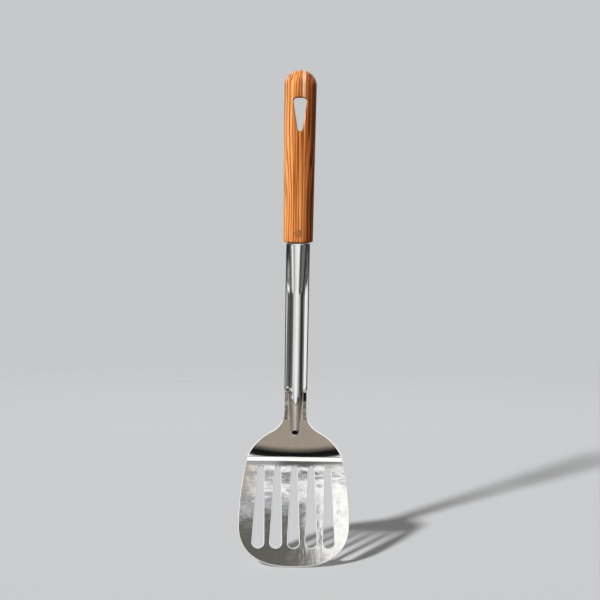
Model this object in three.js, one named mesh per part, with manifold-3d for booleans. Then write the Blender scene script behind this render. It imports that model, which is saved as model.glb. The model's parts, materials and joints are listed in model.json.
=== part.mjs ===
// A slotted kitchen turner: a stamped steel blade, a formed steel tube shaft and a turned wooden handle.
// Millimetres. +Z runs up the handle and shaft, the food side faces -Y, and X is across the blade.
// The origin lies on the handle's axis, at the upper edge of the hang hole, where a hook bears.

import * as THREE from 'three';
import { mergeVertices } from 'three/addons/utils/BufferGeometryUtils.js';
import Module from 'manifold-3d';

const wasm = await Module();
wasm.setup();

// Handle: a turned taper with a domed top
const handleLength = 124;
const handleTopRadius = 11.7;
const handleEndRadius = 10.7;
const domeHeight = 11.2;
const handleEndRound = 1.1;

// Hang hole: a shield-shaped teardrop right through the handle, wide end up
const hangHoleInset = 19.9;
const hangHoleLength = 23.9;
const hangHoleWidth = 9.8;
const hangHoleCornerRadius = 2.7;
const hangHoleTipRadius = 1.7;

// Shaft: a steel tube, round below the handle, pressed to a bead with two flanges lower down
const tubeRadius = 8.95;
const tubeWall = 0.8;
const roundLength = 3;
const pressLength = 40;
const flangeEnd = 109.3;
const flangeTopHalfWidth = 8.7;
const flangeEndHalfWidth = 8.4;
const beadHalfWidth = 5.15;
const beadCrest = 7.4;

// Spigot: the necked-down top of the tube, inside the handle
const spigotRadius = 6.2;
const spigotLength = 32;
const shoulderRound = 0.8;

// Tongue: the bead runs on past the flanges and lies on the neck
const tongueEnd = 143.4;
const tongueEndHalfWidth = 4.3;
const tongueEndCrest = 4.4;
const tongueNose = 4.6;
const ventRadius = 2;
const ventInset = 2.9;
const ventTilt = THREE.MathUtils.degToRad(32);

// Blade: one sheet, bent at the collar and at the heel, with distances along it from the handle's end.
// A gentle lead-in bends the neck a little before the sharper heel.
const sheetThickness = 1.2;
const sheetSetback = 2;
const collarMiddle = 120.4;
const collarBend = THREE.MathUtils.degToRad(9);
const collarRadius = 70;
const neckStart = 127;
const neckHalfWidth = 7.9;
const heelMiddle = 159.8;
const heelBend = THREE.MathUtils.degToRad(16.5);
const heelRadius = 15;
const leadInLength = 11;
const leadInBend = THREE.MathUtils.degToRad(6.5);
const heelWidth = 70;
const bladeWidth = 80;
const bladeLength = 82.2;
const widestBelowHeel = 48;
const tipRoundness = 2.5;
const tangLength = 30;

// The neck's outline turns from hollow to round at this point, leaning this far from the cross direction
const neckTurnHalfWidth = 18.6;
const neckTurnAboveHeel = 19.3;
const neckTurnLean = THREE.MathUtils.degToRad(26);
const neckCornerLean = THREE.MathUtils.degToRad(82);
const heelSideLean = THREE.MathUtils.degToRad(70);
const neckCurvePull = 6;
const heelCurvePull = 7;

// Slots: five, fanned a little, narrow at the heel and wide at the tip
const slotCount = 5;
const slotTopBelowHeel = 5.4;
const slotLength = 62.8;
const slotTopRadius = 2;
const slotBottomRadius = 4.1;
const slotTopPitch = 12.2;
const slotBottomPitch = 12.7;

// Cross pin and its plugs
const pinAboveEnd = 6.6;
const pinRadius = 2;
const plugRadius = 2.9;
const plugDepth = 2.6;

// Clearances
const seatGap = 0.3;
const plugGap = 0.2;
const boreEndGap = 2;
const cutOverrun = 2;

// Facet counts
const handleFacets = 56;
const domeSteps = 9;
const roundSteps = 4;
const pinFacets = 24;
const frontPoints = 22;
const flangePoints = 3;
const pressSteps = 9;
const noseSteps = 6;
const bendSteps = 6;
const tipSteps = 18;
const sideSteps = 10;
const neckSteps = 8;
const slotArcDivisions = 6;
const hangHoleFacets = 40;

// Worked-out places
const handleTopZ = hangHoleInset;
const handleEndZ = handleTopZ - handleLength;
const sheetHalf = sheetThickness / 2;
const flangeInner = sheetHalf + seatGap;
const flangeOuter = flangeInner + tubeWall;
const boreRadius = spigotRadius + seatGap;
const pinZ = handleEndZ + pinAboveEnd;
const collarArc = collarRadius * collarBend;
const collarStart = collarMiddle - collarArc / 2;
const heelArc = heelRadius * heelBend;
const heelStart = heelMiddle - heelArc / 2;
const heelEnd = heelMiddle + heelArc / 2;
const leadInStart = heelStart - leadInLength;
const bladeTip = heelMiddle + bladeLength;
const bladeWidest = heelMiddle + widestBelowHeel;

// The sheet's side profile: straight runs and bends, from the handle's end down to the tip
const sheetRuns = [
  { length: collarStart, turn: 0 },
  { length: collarArc, turn: collarBend },
  { length: leadInStart - collarStart - collarArc, turn: 0 },
  { length: leadInLength, turn: leadInBend },
  { length: heelArc, turn: heelBend },
  { length: bladeTip - heelEnd + cutOverrun, turn: 0 },
];

// A point across the sheet, at a height on its food side and a distance along its side profile
function onSheet(across, height, along) {
  let y = sheetSetback;
  let z = handleEndZ;
  let angle = 0;
  let left = along;
  for (const { length, turn } of sheetRuns) {
    const step = Math.min(left, length);
    if (turn === 0) {
      y -= step * Math.sin(angle);
      z -= step * Math.cos(angle);
    } else {
      const radius = length / turn;
      const next = angle + step / radius;
      y += radius * (Math.cos(next) - Math.cos(angle));
      z -= radius * (Math.sin(next) - Math.sin(angle));
      angle = next;
    }
    left -= step;
  }
  return new THREE.Vector3(across, y - height * Math.cos(angle), z + height * Math.sin(angle));
}

// A closed mesh made into a solid, with shared corners merged and empty triangles dropped
function solidFrom(geometry) {
  const bare = geometry.clone();
  bare.deleteAttribute('normal');
  bare.deleteAttribute('uv');
  const welded = mergeVertices(bare);
  const corners = welded.index.array;
  const triangles = [];
  for (let i = 0; i < corners.length; i += 3) {
    const [a, b, c] = corners.slice(i, i + 3);
    if (a !== b && b !== c && c !== a) {
      triangles.push(a, b, c);
    }
  }
  return new wasm.Manifold(new wasm.Mesh({
    numProp: 3,
    vertProperties: Float32Array.from(welded.attributes.position.array),
    triVerts: Uint32Array.from(triangles),
  }));
}

function geometryFrom(solid) {
  const { vertProperties, triVerts } = solid.getMesh();
  const geometry = new THREE.BufferGeometry();
  geometry.setAttribute('position', new THREE.BufferAttribute(vertProperties, 3));
  geometry.setIndex(new THREE.BufferAttribute(triVerts, 1));
  geometry.computeVertexNormals();
  return geometry;
}

function geometryFromCorners(corners) {
  const geometry = new THREE.BufferGeometry().setFromPoints(corners);
  geometry.setIndex([...corners.keys()]);
  return geometry;
}

// A loft through sections on the sheet: each has its distance along and a loop of (across, height) points
function loft(sections) {
  const rings = sections.map(({ along, loop }) => loop.map((p) => onSheet(p.x, p.y, along)));
  const corners = [];
  for (let i = 0; i + 1 < rings.length; i += 1) {
    const count = rings[i].length;
    for (let j = 0; j < count; j += 1) {
      const k = (j + 1) % count;
      corners.push(rings[i][j], rings[i][k], rings[i + 1][k]);
      corners.push(rings[i][j], rings[i + 1][k], rings[i + 1][j]);
    }
  }
  const last = rings.length - 1;
  for (const [a, b, c] of THREE.ShapeUtils.triangulateShape(sections[0].loop, [])) {
    corners.push(rings[0][c], rings[0][b], rings[0][a]);
  }
  for (const [a, b, c] of THREE.ShapeUtils.triangulateShape(sections[last].loop, [])) {
    corners.push(rings[last][a], rings[last][b], rings[last][c]);
  }
  return solidFrom(geometryFromCorners(corners));
}

// Two round ends of different radius and the straight flanks that touch both
function roundEndedSlot(top, topRadius, bottom, bottomRadius) {
  const axis = top.clone().sub(bottom);
  const lean = axis.angle();
  const flank = Math.asin((topRadius - bottomRadius) / axis.length());
  const right = lean - Math.PI / 2 - flank;
  const left = lean + Math.PI / 2 + flank;
  const slot = new THREE.Shape();
  slot.absarc(top.x, top.y, topRadius, right, left, false);
  slot.absarc(bottom.x, bottom.y, bottomRadius, left, right + 2 * Math.PI, false);
  return slot;
}

// A bar along Y between two depths, at a height on the handle's axis
function crossBar(radius, fromY, toY, z) {
  const bar = new THREE.CylinderGeometry(radius, radius, toY - fromY, pinFacets);
  bar.translate(0, (fromY + toY) / 2, z);
  return bar;
}

// Handle

function handleRadiusAt(z) {
  const share = (z - handleEndZ) / (handleLength - domeHeight);
  return THREE.MathUtils.lerp(handleEndRadius, handleTopRadius, share);
}

function turnedHandle() {
  const profile = [new THREE.Vector2(0, handleEndZ)];
  for (let i = 0; i <= roundSteps; i += 1) {
    const turn = (i / roundSteps) * Math.PI / 2;
    const radius = handleEndRadius - handleEndRound * (1 - Math.sin(turn));
    profile.push(new THREE.Vector2(radius, handleEndZ + handleEndRound * (1 - Math.cos(turn))));
  }
  for (let i = 0; i < domeSteps; i += 1) {
    const turn = (i / domeSteps) * Math.PI / 2;
    const z = handleTopZ - domeHeight * (1 - Math.sin(turn));
    profile.push(new THREE.Vector2(handleTopRadius * Math.cos(turn), z));
  }
  profile.push(new THREE.Vector2(0, handleTopZ));
  const turned = new THREE.LatheGeometry(profile, handleFacets);
  turned.rotateX(Math.PI / 2);
  return solidFrom(turned);
}

// The outline that wraps two upper corner circles and a small circle at the tip
function hangHoleOutline() {
  const cornerAcross = hangHoleWidth / 2 - hangHoleCornerRadius;
  const circles = [
    { middle: new THREE.Vector2(cornerAcross, -hangHoleCornerRadius), radius: hangHoleCornerRadius },
    { middle: new THREE.Vector2(-cornerAcross, -hangHoleCornerRadius), radius: hangHoleCornerRadius },
    { middle: new THREE.Vector2(0, hangHoleTipRadius - hangHoleLength), radius: hangHoleTipRadius },
  ];
  return Array.from({ length: hangHoleFacets }, (_, i) => {
    const turn = ((i + 0.5) / hangHoleFacets) * 2 * Math.PI;
    const way = new THREE.Vector2(Math.cos(turn), Math.sin(turn));
    const reach = ({ middle, radius }) => middle.dot(way) + radius;
    const outer = circles.reduce((best, circle) => (reach(circle) > reach(best) ? circle : best));
    return way.multiplyScalar(outer.radius).add(outer.middle);
  });
}

function hangHoleCutter() {
  const depth = 2 * (handleTopRadius + cutOverrun);
  const outline = new THREE.Shape(hangHoleOutline());
  const cutter = new THREE.ExtrudeGeometry(outline, { depth, bevelEnabled: false });
  cutter.rotateX(Math.PI / 2);
  cutter.translate(0, depth / 2, 0);
  return solidFrom(cutter);
}

function boreCutter() {
  const depth = spigotLength + boreEndGap;
  const bore = new THREE.CylinderGeometry(boreRadius, boreRadius, depth + cutOverrun, handleFacets);
  bore.rotateX(Math.PI / 2);
  bore.translate(0, 0, handleEndZ + (depth - cutOverrun) / 2);
  return solidFrom(bore);
}

const pinReach = handleRadiusAt(pinZ) - plugDepth - seatGap;
const plugFloor = handleRadiusAt(pinZ) - plugDepth;
const plugOuter = handleTopRadius + cutOverrun;

function handleGeometry() {
  const holeReach = plugFloor + cutOverrun;
  return geometryFrom(turnedHandle()
    .subtract(hangHoleCutter())
    .subtract(boreCutter())
    .subtract(solidFrom(crossBar(pinRadius + plugGap, -holeReach, holeReach, pinZ)))
    .subtract(solidFrom(crossBar(plugRadius + plugGap, -plugOuter, seatGap - plugFloor, pinZ)))
    .subtract(solidFrom(crossBar(plugRadius + plugGap, plugFloor - seatGap, plugOuter, pinZ))));
}

function plugGeometry(fromY, toY) {
  return geometryFrom(solidFrom(crossBar(plugRadius, fromY, toY, pinZ)).intersect(turnedHandle()));
}

// Shaft

function roundLoop(radius) {
  const count = 2 * frontPoints;
  return Array.from({ length: count }, (_, i) => {
    const turn = ((i + 0.5) / count) * 2 * Math.PI;
    return new THREE.Vector2(radius * Math.cos(turn), sheetSetback + radius * Math.sin(turn));
  });
}

// The bead's arch from its right foot over the crest to its left foot
function beadArch(halfWidth, foot, crest, count) {
  return Array.from({ length: count }, (_, i) => {
    const turn = (i / (count - 1)) * Math.PI;
    return new THREE.Vector2(halfWidth * Math.cos(turn), foot + (crest - foot) * Math.sin(turn));
  });
}

// The pressed section: a flat back, two flanges and the bead, going round from the right flange's edge
function pressedLoop(halfWidth, flange, bead, crest) {
  const loop = [];
  for (let i = 0; i < flangePoints; i += 1) {
    loop.push(new THREE.Vector2(THREE.MathUtils.lerp(halfWidth, bead, i / flangePoints), flange));
  }
  loop.push(...beadArch(bead, flange, crest, frontPoints - 2 * flangePoints));
  for (let i = 1; i <= flangePoints; i += 1) {
    loop.push(new THREE.Vector2(THREE.MathUtils.lerp(-bead, -halfWidth, i / flangePoints), flange));
  }
  for (let i = 0; i < frontPoints; i += 1) {
    loop.push(new THREE.Vector2(THREE.MathUtils.lerp(-halfWidth, halfWidth, i / (frontPoints - 1)), -flange));
  }
  return loop;
}

// The tube's outside, or its inside when it is shrunk by the wall
function tubeBody(shrink, flange, spigotTop, neckAt, flangeStop) {
  const sections = [
    { along: spigotTop, loop: roundLoop(spigotRadius - shrink) },
    { along: neckAt, loop: roundLoop(spigotRadius - shrink) },
    { along: neckAt, loop: roundLoop(tubeRadius - shrink - shoulderRound) },
    { along: neckAt + shoulderRound, loop: roundLoop(tubeRadius - shrink) },
  ];
  const round = roundLoop(tubeRadius - shrink);
  const bead = beadHalfWidth - shrink;
  const crest = beadCrest - shrink;
  const topLoop = pressedLoop(flangeTopHalfWidth - shrink, flange, bead, crest);
  for (let i = 0; i <= pressSteps; i += 1) {
    const share = THREE.MathUtils.smootherstep(i / pressSteps, 0, 1);
    const loop = round.map((p, j) => p.clone().lerp(topLoop[j], share));
    sections.push({ along: roundLength + (i / pressSteps) * pressLength, loop });
  }
  const endLoop = pressedLoop(flangeEndHalfWidth - shrink, flange, bead, crest);
  sections.push({ along: flangeStop, loop: endLoop });
  return loft(sections);
}

// The tongue's outside, or its inside when it is shrunk by the wall and its base is dropped to open it
function tongueBody(shrink, base) {
  const count = frontPoints - 2 * flangePoints;
  const noseStart = tongueEnd - tongueNose;
  const section = (along, share, scale) => {
    const halfWidth = (THREE.MathUtils.lerp(beadHalfWidth, tongueEndHalfWidth, share) - shrink) * scale;
    const rise = THREE.MathUtils.lerp(beadCrest, tongueEndCrest, share) - shrink - flangeInner;
    const foot = flangeInner + (flangeOuter - shrink - flangeInner) * scale;
    const arch = beadArch(halfWidth, foot, flangeInner + rise * scale, count);
    const right = new THREE.Vector2(halfWidth, base);
    const left = new THREE.Vector2(-halfWidth, base);
    return { along, loop: [right, ...arch, left] };
  };
  const sections = [section(flangeEnd - tongueNose, 0, 1), section(flangeEnd, 0, 1)];
  for (let i = 1; i < bendSteps; i += 1) {
    const share = i / bendSteps;
    sections.push(section(THREE.MathUtils.lerp(flangeEnd, noseStart, share), share, 1));
  }
  for (let i = 0; i < noseSteps; i += 1) {
    const turn = (i / noseSteps) * Math.PI / 2;
    sections.push(section(noseStart + (tongueNose - shrink) * Math.sin(turn), 1, Math.cos(turn)));
  }
  return loft(sections);
}

function ventCutter() {
  const length = 2 * tongueEndCrest;
  const bar = new THREE.CylinderGeometry(ventRadius, ventRadius, length, pinFacets);
  const place = onSheet(0, tongueEndCrest, tongueEnd - ventInset);
  bar.rotateX(ventTilt - collarBend);
  bar.translate(place.x, place.y, place.z);
  return solidFrom(bar);
}

function shaftGeometry() {
  const outside = tubeBody(0, flangeOuter, -spigotLength, seatGap, flangeEnd)
    .add(tongueBody(0, flangeInner));
  const spigotMouth = -spigotLength - cutOverrun;
  const inside = tubeBody(tubeWall, flangeInner, spigotMouth, seatGap + tubeWall, flangeEnd + cutOverrun)
    .add(tongueBody(tubeWall, 0));
  const pinHole = solidFrom(crossBar(pinRadius + plugGap, -tubeRadius, tubeRadius, pinZ));
  return geometryFrom(outside.subtract(inside).subtract(pinHole).subtract(ventCutter()));
}

// Blade

// A stretch of the sheet between two lines across it, from its right edge points and any slots.
// Its faces and edges come out as loose corners, and its open ends get a wall where asked.
function sheetStretch(edge, slots, wallAtStart) {
  const mirrored = edge.filter((p) => p.x > 0).reverse().map((p) => new THREE.Vector2(-p.x, p.y));
  const outline = [...edge, ...mirrored];
  const points = [...outline, ...slots.flat()];
  const corners = [];
  const front = points.map((p) => onSheet(p.x, sheetHalf, p.y));
  const back = points.map((p) => onSheet(p.x, -sheetHalf, p.y));
  for (const [a, b, c] of THREE.ShapeUtils.triangulateShape(outline, slots)) {
    corners.push(front[c], front[b], front[a], back[a], back[b], back[c]);
  }
  const wall = (i, j) => {
    corners.push(front[i], front[j], back[j], front[i], back[j], back[i]);
  };
  const lastEdge = edge.length - 1;
  outline.forEach((_, i) => {
    const next = (i + 1) % outline.length;
    const acrossEnd = i === lastEdge && edge[lastEdge].x > 0;
    const acrossStart = next === 0;
    if (!acrossEnd && (!acrossStart || wallAtStart)) {
      wall(i, next);
    }
  });
  let first = outline.length;
  for (const slot of slots) {
    slot.forEach((_, i) => wall(first + i, first + (i + 1) % slot.length));
    first += slot.length;
  }
  return corners;
}

function bezierPoints(from, fromPull, toPull, to, steps) {
  return new THREE.CubicBezierCurve(from, fromPull, toPull, to).getPoints(steps);
}

// The right half-width of the blade above its widest line, rounding in towards the heel
function sideHalfWidth(along) {
  const share = (bladeWidest - along) / widestBelowHeel;
  return bladeWidth / 2 - (bladeWidth - heelWidth) / 2 * share * share;
}

function sidePoints(from, to, steps) {
  return Array.from({ length: steps + 1 }, (_, i) => {
    const along = THREE.MathUtils.lerp(from, to, i / steps);
    return new THREE.Vector2(sideHalfWidth(along), along);
  });
}

// The tip: a quarter of a rounded rectangle, as a superellipse
function tipPoints() {
  const reach = bladeTip - bladeWidest;
  return Array.from({ length: tipSteps }, (_, i) => {
    const turn = ((i + 1) / tipSteps) * Math.PI / 2;
    const across = Math.cos(turn) ** (2 / tipRoundness);
    const down = Math.sin(turn) ** (2 / tipRoundness);
    const half = i + 1 < tipSteps ? bladeWidth / 2 * across : 0;
    return new THREE.Vector2(half, bladeWidest + reach * down);
  });
}

// The neck's right edge: a hollow curve from the collar, then a round one down to the heel bend
function neckPoints() {
  const corner = new THREE.Vector2(neckHalfWidth, neckStart);
  const turn = new THREE.Vector2(neckTurnHalfWidth, heelMiddle - neckTurnAboveHeel);
  const heel = new THREE.Vector2(sideHalfWidth(heelStart), heelStart);
  const pull = (from, lean, length) => {
    return new THREE.Vector2(Math.cos(lean), Math.sin(lean)).multiplyScalar(length).add(from);
  };
  const cornerPull = pull(corner, neckCornerLean, neckCurvePull);
  const turnBefore = pull(turn, neckTurnLean, -neckCurvePull);
  const turnAfter = pull(turn, neckTurnLean, heelCurvePull);
  const heelPull = pull(heel, heelSideLean, -heelCurvePull);
  return [
    ...bezierPoints(corner, cornerPull, turnBefore, turn, neckSteps),
    ...bezierPoints(turn, turnAfter, heelPull, heel, neckSteps).slice(1),
  ];
}

// The neck's right half-width at a distance along, between two of its edge points
function neckHalfWidthAt(along) {
  const edge = neckPoints();
  const last = edge.length - 1;
  const below = edge.findIndex((p, i) => i === last || (i > 0 && p.y >= along));
  const [a, b] = [edge[below - 1], edge[below]];
  return THREE.MathUtils.mapLinear(along, a.y, b.y, a.x, b.x);
}

function slotPoints(index) {
  const place = index - (slotCount - 1) / 2;
  const topAlong = heelMiddle + slotTopBelowHeel + slotTopRadius;
  const bottomAlong = heelMiddle + slotTopBelowHeel + slotLength - slotBottomRadius;
  const top = new THREE.Vector2(place * slotTopPitch, topAlong);
  const bottom = new THREE.Vector2(place * slotBottomPitch, bottomAlong);
  const slot = roundEndedSlot(top, slotTopRadius, bottom, slotBottomRadius);
  return slot.getPoints(slotArcDivisions).reverse();
}

function straightEdge(halfWidth, from, to) {
  return [new THREE.Vector2(halfWidth, from), new THREE.Vector2(halfWidth, to)];
}

function bendEdge(halfWidthAt, from, to) {
  return Array.from({ length: bendSteps }, (_, i) => {
    const rows = [i, i + 1].map((row) => THREE.MathUtils.lerp(from, to, row / bendSteps));
    return rows.map((along) => new THREE.Vector2(halfWidthAt(along), along));
  });
}

function bladeGeometry() {
  const tangHalfWidth = flangeEndHalfWidth - tubeWall - seatGap;
  const tangShoulder = flangeEnd + seatGap;
  const collarEnd = collarStart + collarArc;
  const tang = [
    ...straightEdge(tangHalfWidth, flangeEnd - tangLength, tangShoulder),
    ...straightEdge(neckHalfWidth, tangShoulder, collarStart),
  ];
  const neck = [
    new THREE.Vector2(neckHalfWidth, collarEnd),
    ...neckPoints().filter((p) => p.y < leadInStart),
    new THREE.Vector2(neckHalfWidthAt(leadInStart), leadInStart),
  ];
  const blade = [...sidePoints(heelEnd, bladeWidest, sideSteps), ...tipPoints()];
  const collar = bendEdge(() => neckHalfWidth, collarStart, collarEnd);
  const bends = [
    ...bendEdge(neckHalfWidthAt, leadInStart, heelStart),
    ...bendEdge(sideHalfWidth, heelStart, heelEnd),
  ];
  const slots = Array.from({ length: slotCount }, (_, i) => slotPoints(i));
  const corners = [
    ...sheetStretch(tang, [], true),
    ...collar.flatMap((edge) => sheetStretch(edge, [], false)),
    ...sheetStretch(neck, [], false),
    ...bends.flatMap((edge) => sheetStretch(edge, [], false)),
    ...sheetStretch(blade, slots, false),
  ];
  return geometryFrom(solidFrom(geometryFromCorners(corners)));
}

// Materials and assembly

function steel(color, roughness) {
  return new THREE.MeshStandardMaterial({ color, roughness, metalness: 1 });
}

function wood(color) {
  return new THREE.MeshStandardMaterial({ color, roughness: 0.5, metalness: 0 });
}

function piece(name, geometry, material) {
  const mesh = new THREE.Mesh(geometry, material);
  mesh.name = name;
  return mesh;
}

const turner = new THREE.Group();
turner.add(
  piece('blade', bladeGeometry(), steel(0xb9b8b4, 0.28)),
  piece('shaft', shaftGeometry(), steel(0xc4c5c6, 0.15)),
  piece('handle', handleGeometry(), wood(0xb5713a)),
  piece('handle_pin', crossBar(pinRadius, -pinReach, pinReach, pinZ), steel(0xa8a8a6, 0.35)),
  piece('pin_plug_front', plugGeometry(-plugOuter, -plugFloor), wood(0x8f5527)),
  piece('pin_plug_back', plugGeometry(plugFloor, plugOuter), wood(0x8f5527)),
);

export default turner;
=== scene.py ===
# %% [markdown]
# This lesson dresses a slotted kitchen turner: a stamped steel blade, a pressed steel tube for a
# shaft, and a turned handle of striped wood. The solids are already packed in their own frame, with
# +Z up the handle, the food side facing -Y, and the origin at the top of the hang hole. Blender adds
# what faceted solids lack: smooth presswork, rounded edges, wood grain and polished steel.

# %% Load the frame
import json
import math

import bmesh
import bpy
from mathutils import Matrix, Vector

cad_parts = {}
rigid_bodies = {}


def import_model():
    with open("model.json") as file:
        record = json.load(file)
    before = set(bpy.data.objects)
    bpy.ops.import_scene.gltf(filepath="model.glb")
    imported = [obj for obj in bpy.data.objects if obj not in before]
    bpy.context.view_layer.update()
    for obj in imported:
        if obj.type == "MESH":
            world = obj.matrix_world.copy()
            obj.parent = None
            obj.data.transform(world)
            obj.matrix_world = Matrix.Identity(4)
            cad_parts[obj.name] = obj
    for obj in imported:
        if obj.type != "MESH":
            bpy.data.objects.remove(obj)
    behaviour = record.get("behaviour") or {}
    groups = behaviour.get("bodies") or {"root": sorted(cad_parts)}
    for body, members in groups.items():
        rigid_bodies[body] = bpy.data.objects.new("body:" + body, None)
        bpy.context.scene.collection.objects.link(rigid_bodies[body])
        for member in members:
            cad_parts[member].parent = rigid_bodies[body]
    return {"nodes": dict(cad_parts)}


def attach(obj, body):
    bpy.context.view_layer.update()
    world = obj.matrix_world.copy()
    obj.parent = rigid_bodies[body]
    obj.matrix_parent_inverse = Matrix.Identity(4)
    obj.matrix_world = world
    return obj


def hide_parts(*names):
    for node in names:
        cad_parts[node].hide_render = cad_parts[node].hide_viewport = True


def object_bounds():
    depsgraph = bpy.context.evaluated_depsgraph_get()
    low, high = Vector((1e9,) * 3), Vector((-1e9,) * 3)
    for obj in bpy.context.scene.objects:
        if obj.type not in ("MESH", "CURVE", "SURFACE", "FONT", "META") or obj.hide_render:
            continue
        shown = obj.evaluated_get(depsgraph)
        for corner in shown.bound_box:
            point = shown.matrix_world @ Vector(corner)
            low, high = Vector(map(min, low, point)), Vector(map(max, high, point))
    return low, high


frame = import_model()
cad_low, cad_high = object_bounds()
MM = 0.001
print("CAD box in mm:", [round(c / MM, 1) for c in (*cad_low, *cad_high)])

# %% [markdown]
# The camera comes first, so every later choice can be checked from where the photograph was taken.
# The lens is long and about 1.3 m away. It looks a little down on the shaft, and it is rolled by
# almost one degree because the turner leans that much in the picture.

# %% Camera
CAMERA_DISTANCE = 1300 * MM
CAMERA_ELEVATION = math.radians(5.4)
CAMERA_ROLL = math.radians(0.92)
CAMERA_LENS = 107
CAMERA_NEAR = 10 * MM
AIM = Vector((0.1 * MM, 0, -146.5 * MM))

camera_data = bpy.data.cameras.new("camera")
camera_data.lens = CAMERA_LENS
camera_data.clip_start = CAMERA_NEAR
camera = bpy.data.objects.new("camera", camera_data)
bpy.context.scene.collection.objects.link(camera)
backwards = Vector((0, -math.cos(CAMERA_ELEVATION), math.sin(CAMERA_ELEVATION)))
camera.location = AIM + CAMERA_DISTANCE * backwards
camera.rotation_euler = (math.pi / 2 - CAMERA_ELEVATION, -CAMERA_ROLL, 0)
bpy.context.scene.camera = camera
print("camera at", [round(c, 3) for c in camera.location])

# %% [markdown]
# The blade, the shaft's tongue and the flanges all follow one side profile: straight down from the
# handle, a gentle bend at the collar, a sharper one at the heel, then the flat blade. Each piece could
# be bent by itself, but then they would not meet. Here one function turns a place on the unrolled
# sheet into a place in the frame, so pieces that touch share it.

# %% The bends of the sheet
HANDLE_END = -104.1 * MM
SHEET_SETBACK = 2 * MM
COLLAR_MIDDLE = 120.4 * MM
COLLAR_BEND = math.radians(9)
COLLAR_RADIUS = 70 * MM
HEEL_MIDDLE = 159.8 * MM
HEEL_BEND = math.radians(16.5)
HEEL_RADIUS = 15 * MM
LEAD_IN = 11 * MM
LEAD_IN_BEND = math.radians(6.5)
BLADE_LENGTH = 82.2 * MM

COLLAR_ARC = COLLAR_RADIUS * COLLAR_BEND
COLLAR_START = COLLAR_MIDDLE - COLLAR_ARC / 2
HEEL_ARC = HEEL_RADIUS * HEEL_BEND
HEEL_START = HEEL_MIDDLE - HEEL_ARC / 2
HEEL_END = HEEL_MIDDLE + HEEL_ARC / 2
BLADE_TIP = HEEL_MIDDLE + BLADE_LENGTH
BLADE_LEAN = COLLAR_BEND + LEAD_IN_BEND + HEEL_BEND

SHEET_RUNS = (
    (COLLAR_START, 0),
    (COLLAR_ARC, COLLAR_BEND),
    (HEEL_START - LEAD_IN - COLLAR_START - COLLAR_ARC, 0),
    (LEAD_IN, LEAD_IN_BEND),
    (HEEL_ARC, HEEL_BEND),
    (BLADE_LENGTH, 0),
)
print("the blade leans by", round(math.degrees(BLADE_LEAN), 1), "degrees")

# %% From the unrolled sheet to the frame


def on_sheet(across, height, along):
    """The point at a place across and along the unrolled sheet, and a height on its food side."""
    y, z, angle, left = SHEET_SETBACK, HANDLE_END, 0.0, along
    for length, turn in SHEET_RUNS:
        step = min(left, length)
        if turn:
            radius = length / turn
            after = angle + step / radius
            y += radius * (math.cos(after) - math.cos(angle))
            z -= radius * (math.sin(after) - math.sin(angle))
            angle = after
        else:
            y -= step * math.sin(angle)
            z -= step * math.cos(angle)
        left -= step
    return Vector((across, y - height * math.cos(angle), z + height * math.sin(angle)))


print("blade tip at", [round(c / MM, 1) for c in on_sheet(0, 0, BLADE_TIP)], "mm")

# %% [markdown]
# Modelling by hand means entering edit mode, selecting, and calling one operator after another. These
# few helpers do the housekeeping: start with nothing selected, apply a modifier, work on chosen faces,
# join corners and cut one shape with another. The last two measure a mesh, so each step can report.

# %% Select, edit and apply


def select_only(*objects):
    bpy.ops.object.select_all(action="DESELECT")
    for obj in objects:
        obj.select_set(True)
    bpy.context.view_layer.objects.active = objects[0]


def finish_with(obj, kind, **settings):
    """Adds a modifier, sets it and applies it."""
    select_only(obj)
    modifier = obj.modifiers.new(kind.lower(), kind)
    for name, value in settings.items():
        setattr(modifier, name, value)
    bpy.ops.object.modifier_apply(modifier=modifier.name)


def in_edit_mode(obj, *steps):
    """Runs the steps in edit mode on a wholly selected mesh."""
    select_only(obj)
    bpy.ops.object.mode_set(mode="EDIT")
    bpy.ops.mesh.select_all(action="SELECT")
    for step in steps:
        step()
    bpy.ops.object.mode_set(mode="OBJECT")


def on_faces(obj, chosen, *steps):
    """Selects only the chosen faces, by their numbers, and runs the steps on them in edit mode."""
    select_only(obj)
    bpy.ops.object.mode_set(mode="EDIT")
    bpy.ops.mesh.select_mode(type="FACE")
    bpy.ops.mesh.select_all(action="DESELECT")
    bpy.ops.object.mode_set(mode="OBJECT")
    for index in chosen:
        obj.data.polygons[index].select = True
    bpy.ops.object.mode_set(mode="EDIT")
    for step in steps:
        step()
    bpy.ops.mesh.select_mode(type="VERT")
    bpy.ops.object.mode_set(mode="OBJECT")


print("CAD nodes to dress:", len(frame["nodes"]))

# %% Join, cut and measure
SAME_PLACE = 0.001 * MM


def join_corners(obj):
    in_edit_mode(
        obj,
        lambda: bpy.ops.mesh.remove_doubles(threshold=SAME_PLACE),
        lambda: bpy.ops.mesh.normals_make_consistent(inside=False),
    )


def turn_inside_out(obj):
    in_edit_mode(obj, lambda: bpy.ops.mesh.flip_normals())


def ring(name, points):
    """A circle primitive with one corner for each point, moved onto the points."""
    bpy.ops.object.select_all(action="DESELECT")
    bpy.ops.mesh.primitive_circle_add(vertices=len(points), radius=MM, fill_type="NOTHING")
    made = bpy.context.object
    made.name = name
    made.data.name = name
    for vertex, point in zip(made.data.vertices, points):
        vertex.co = point
    return made


def cut(obj, cutter, operation="DIFFERENCE"):
    """Cuts one piece with another and throws the cutter away."""
    finish_with(obj, "BOOLEAN", object=cutter, operation=operation, solver="EXACT")
    bpy.data.objects.remove(cutter, do_unlink=True)


def triangles(obj):
    return sum(len(face.vertices) - 2 for face in obj.data.polygons)


def volume(obj):
    """The volume inside a closed skin, negative when its faces point inwards."""
    skin_copy = bmesh.new()
    skin_copy.from_mesh(obj.data)
    inside = skin_copy.calc_volume(signed=True)
    skin_copy.free()
    return inside


print("CAD handle:", round(volume(frame["nodes"]["handle"]) / MM**3), "cubic mm")

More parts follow.
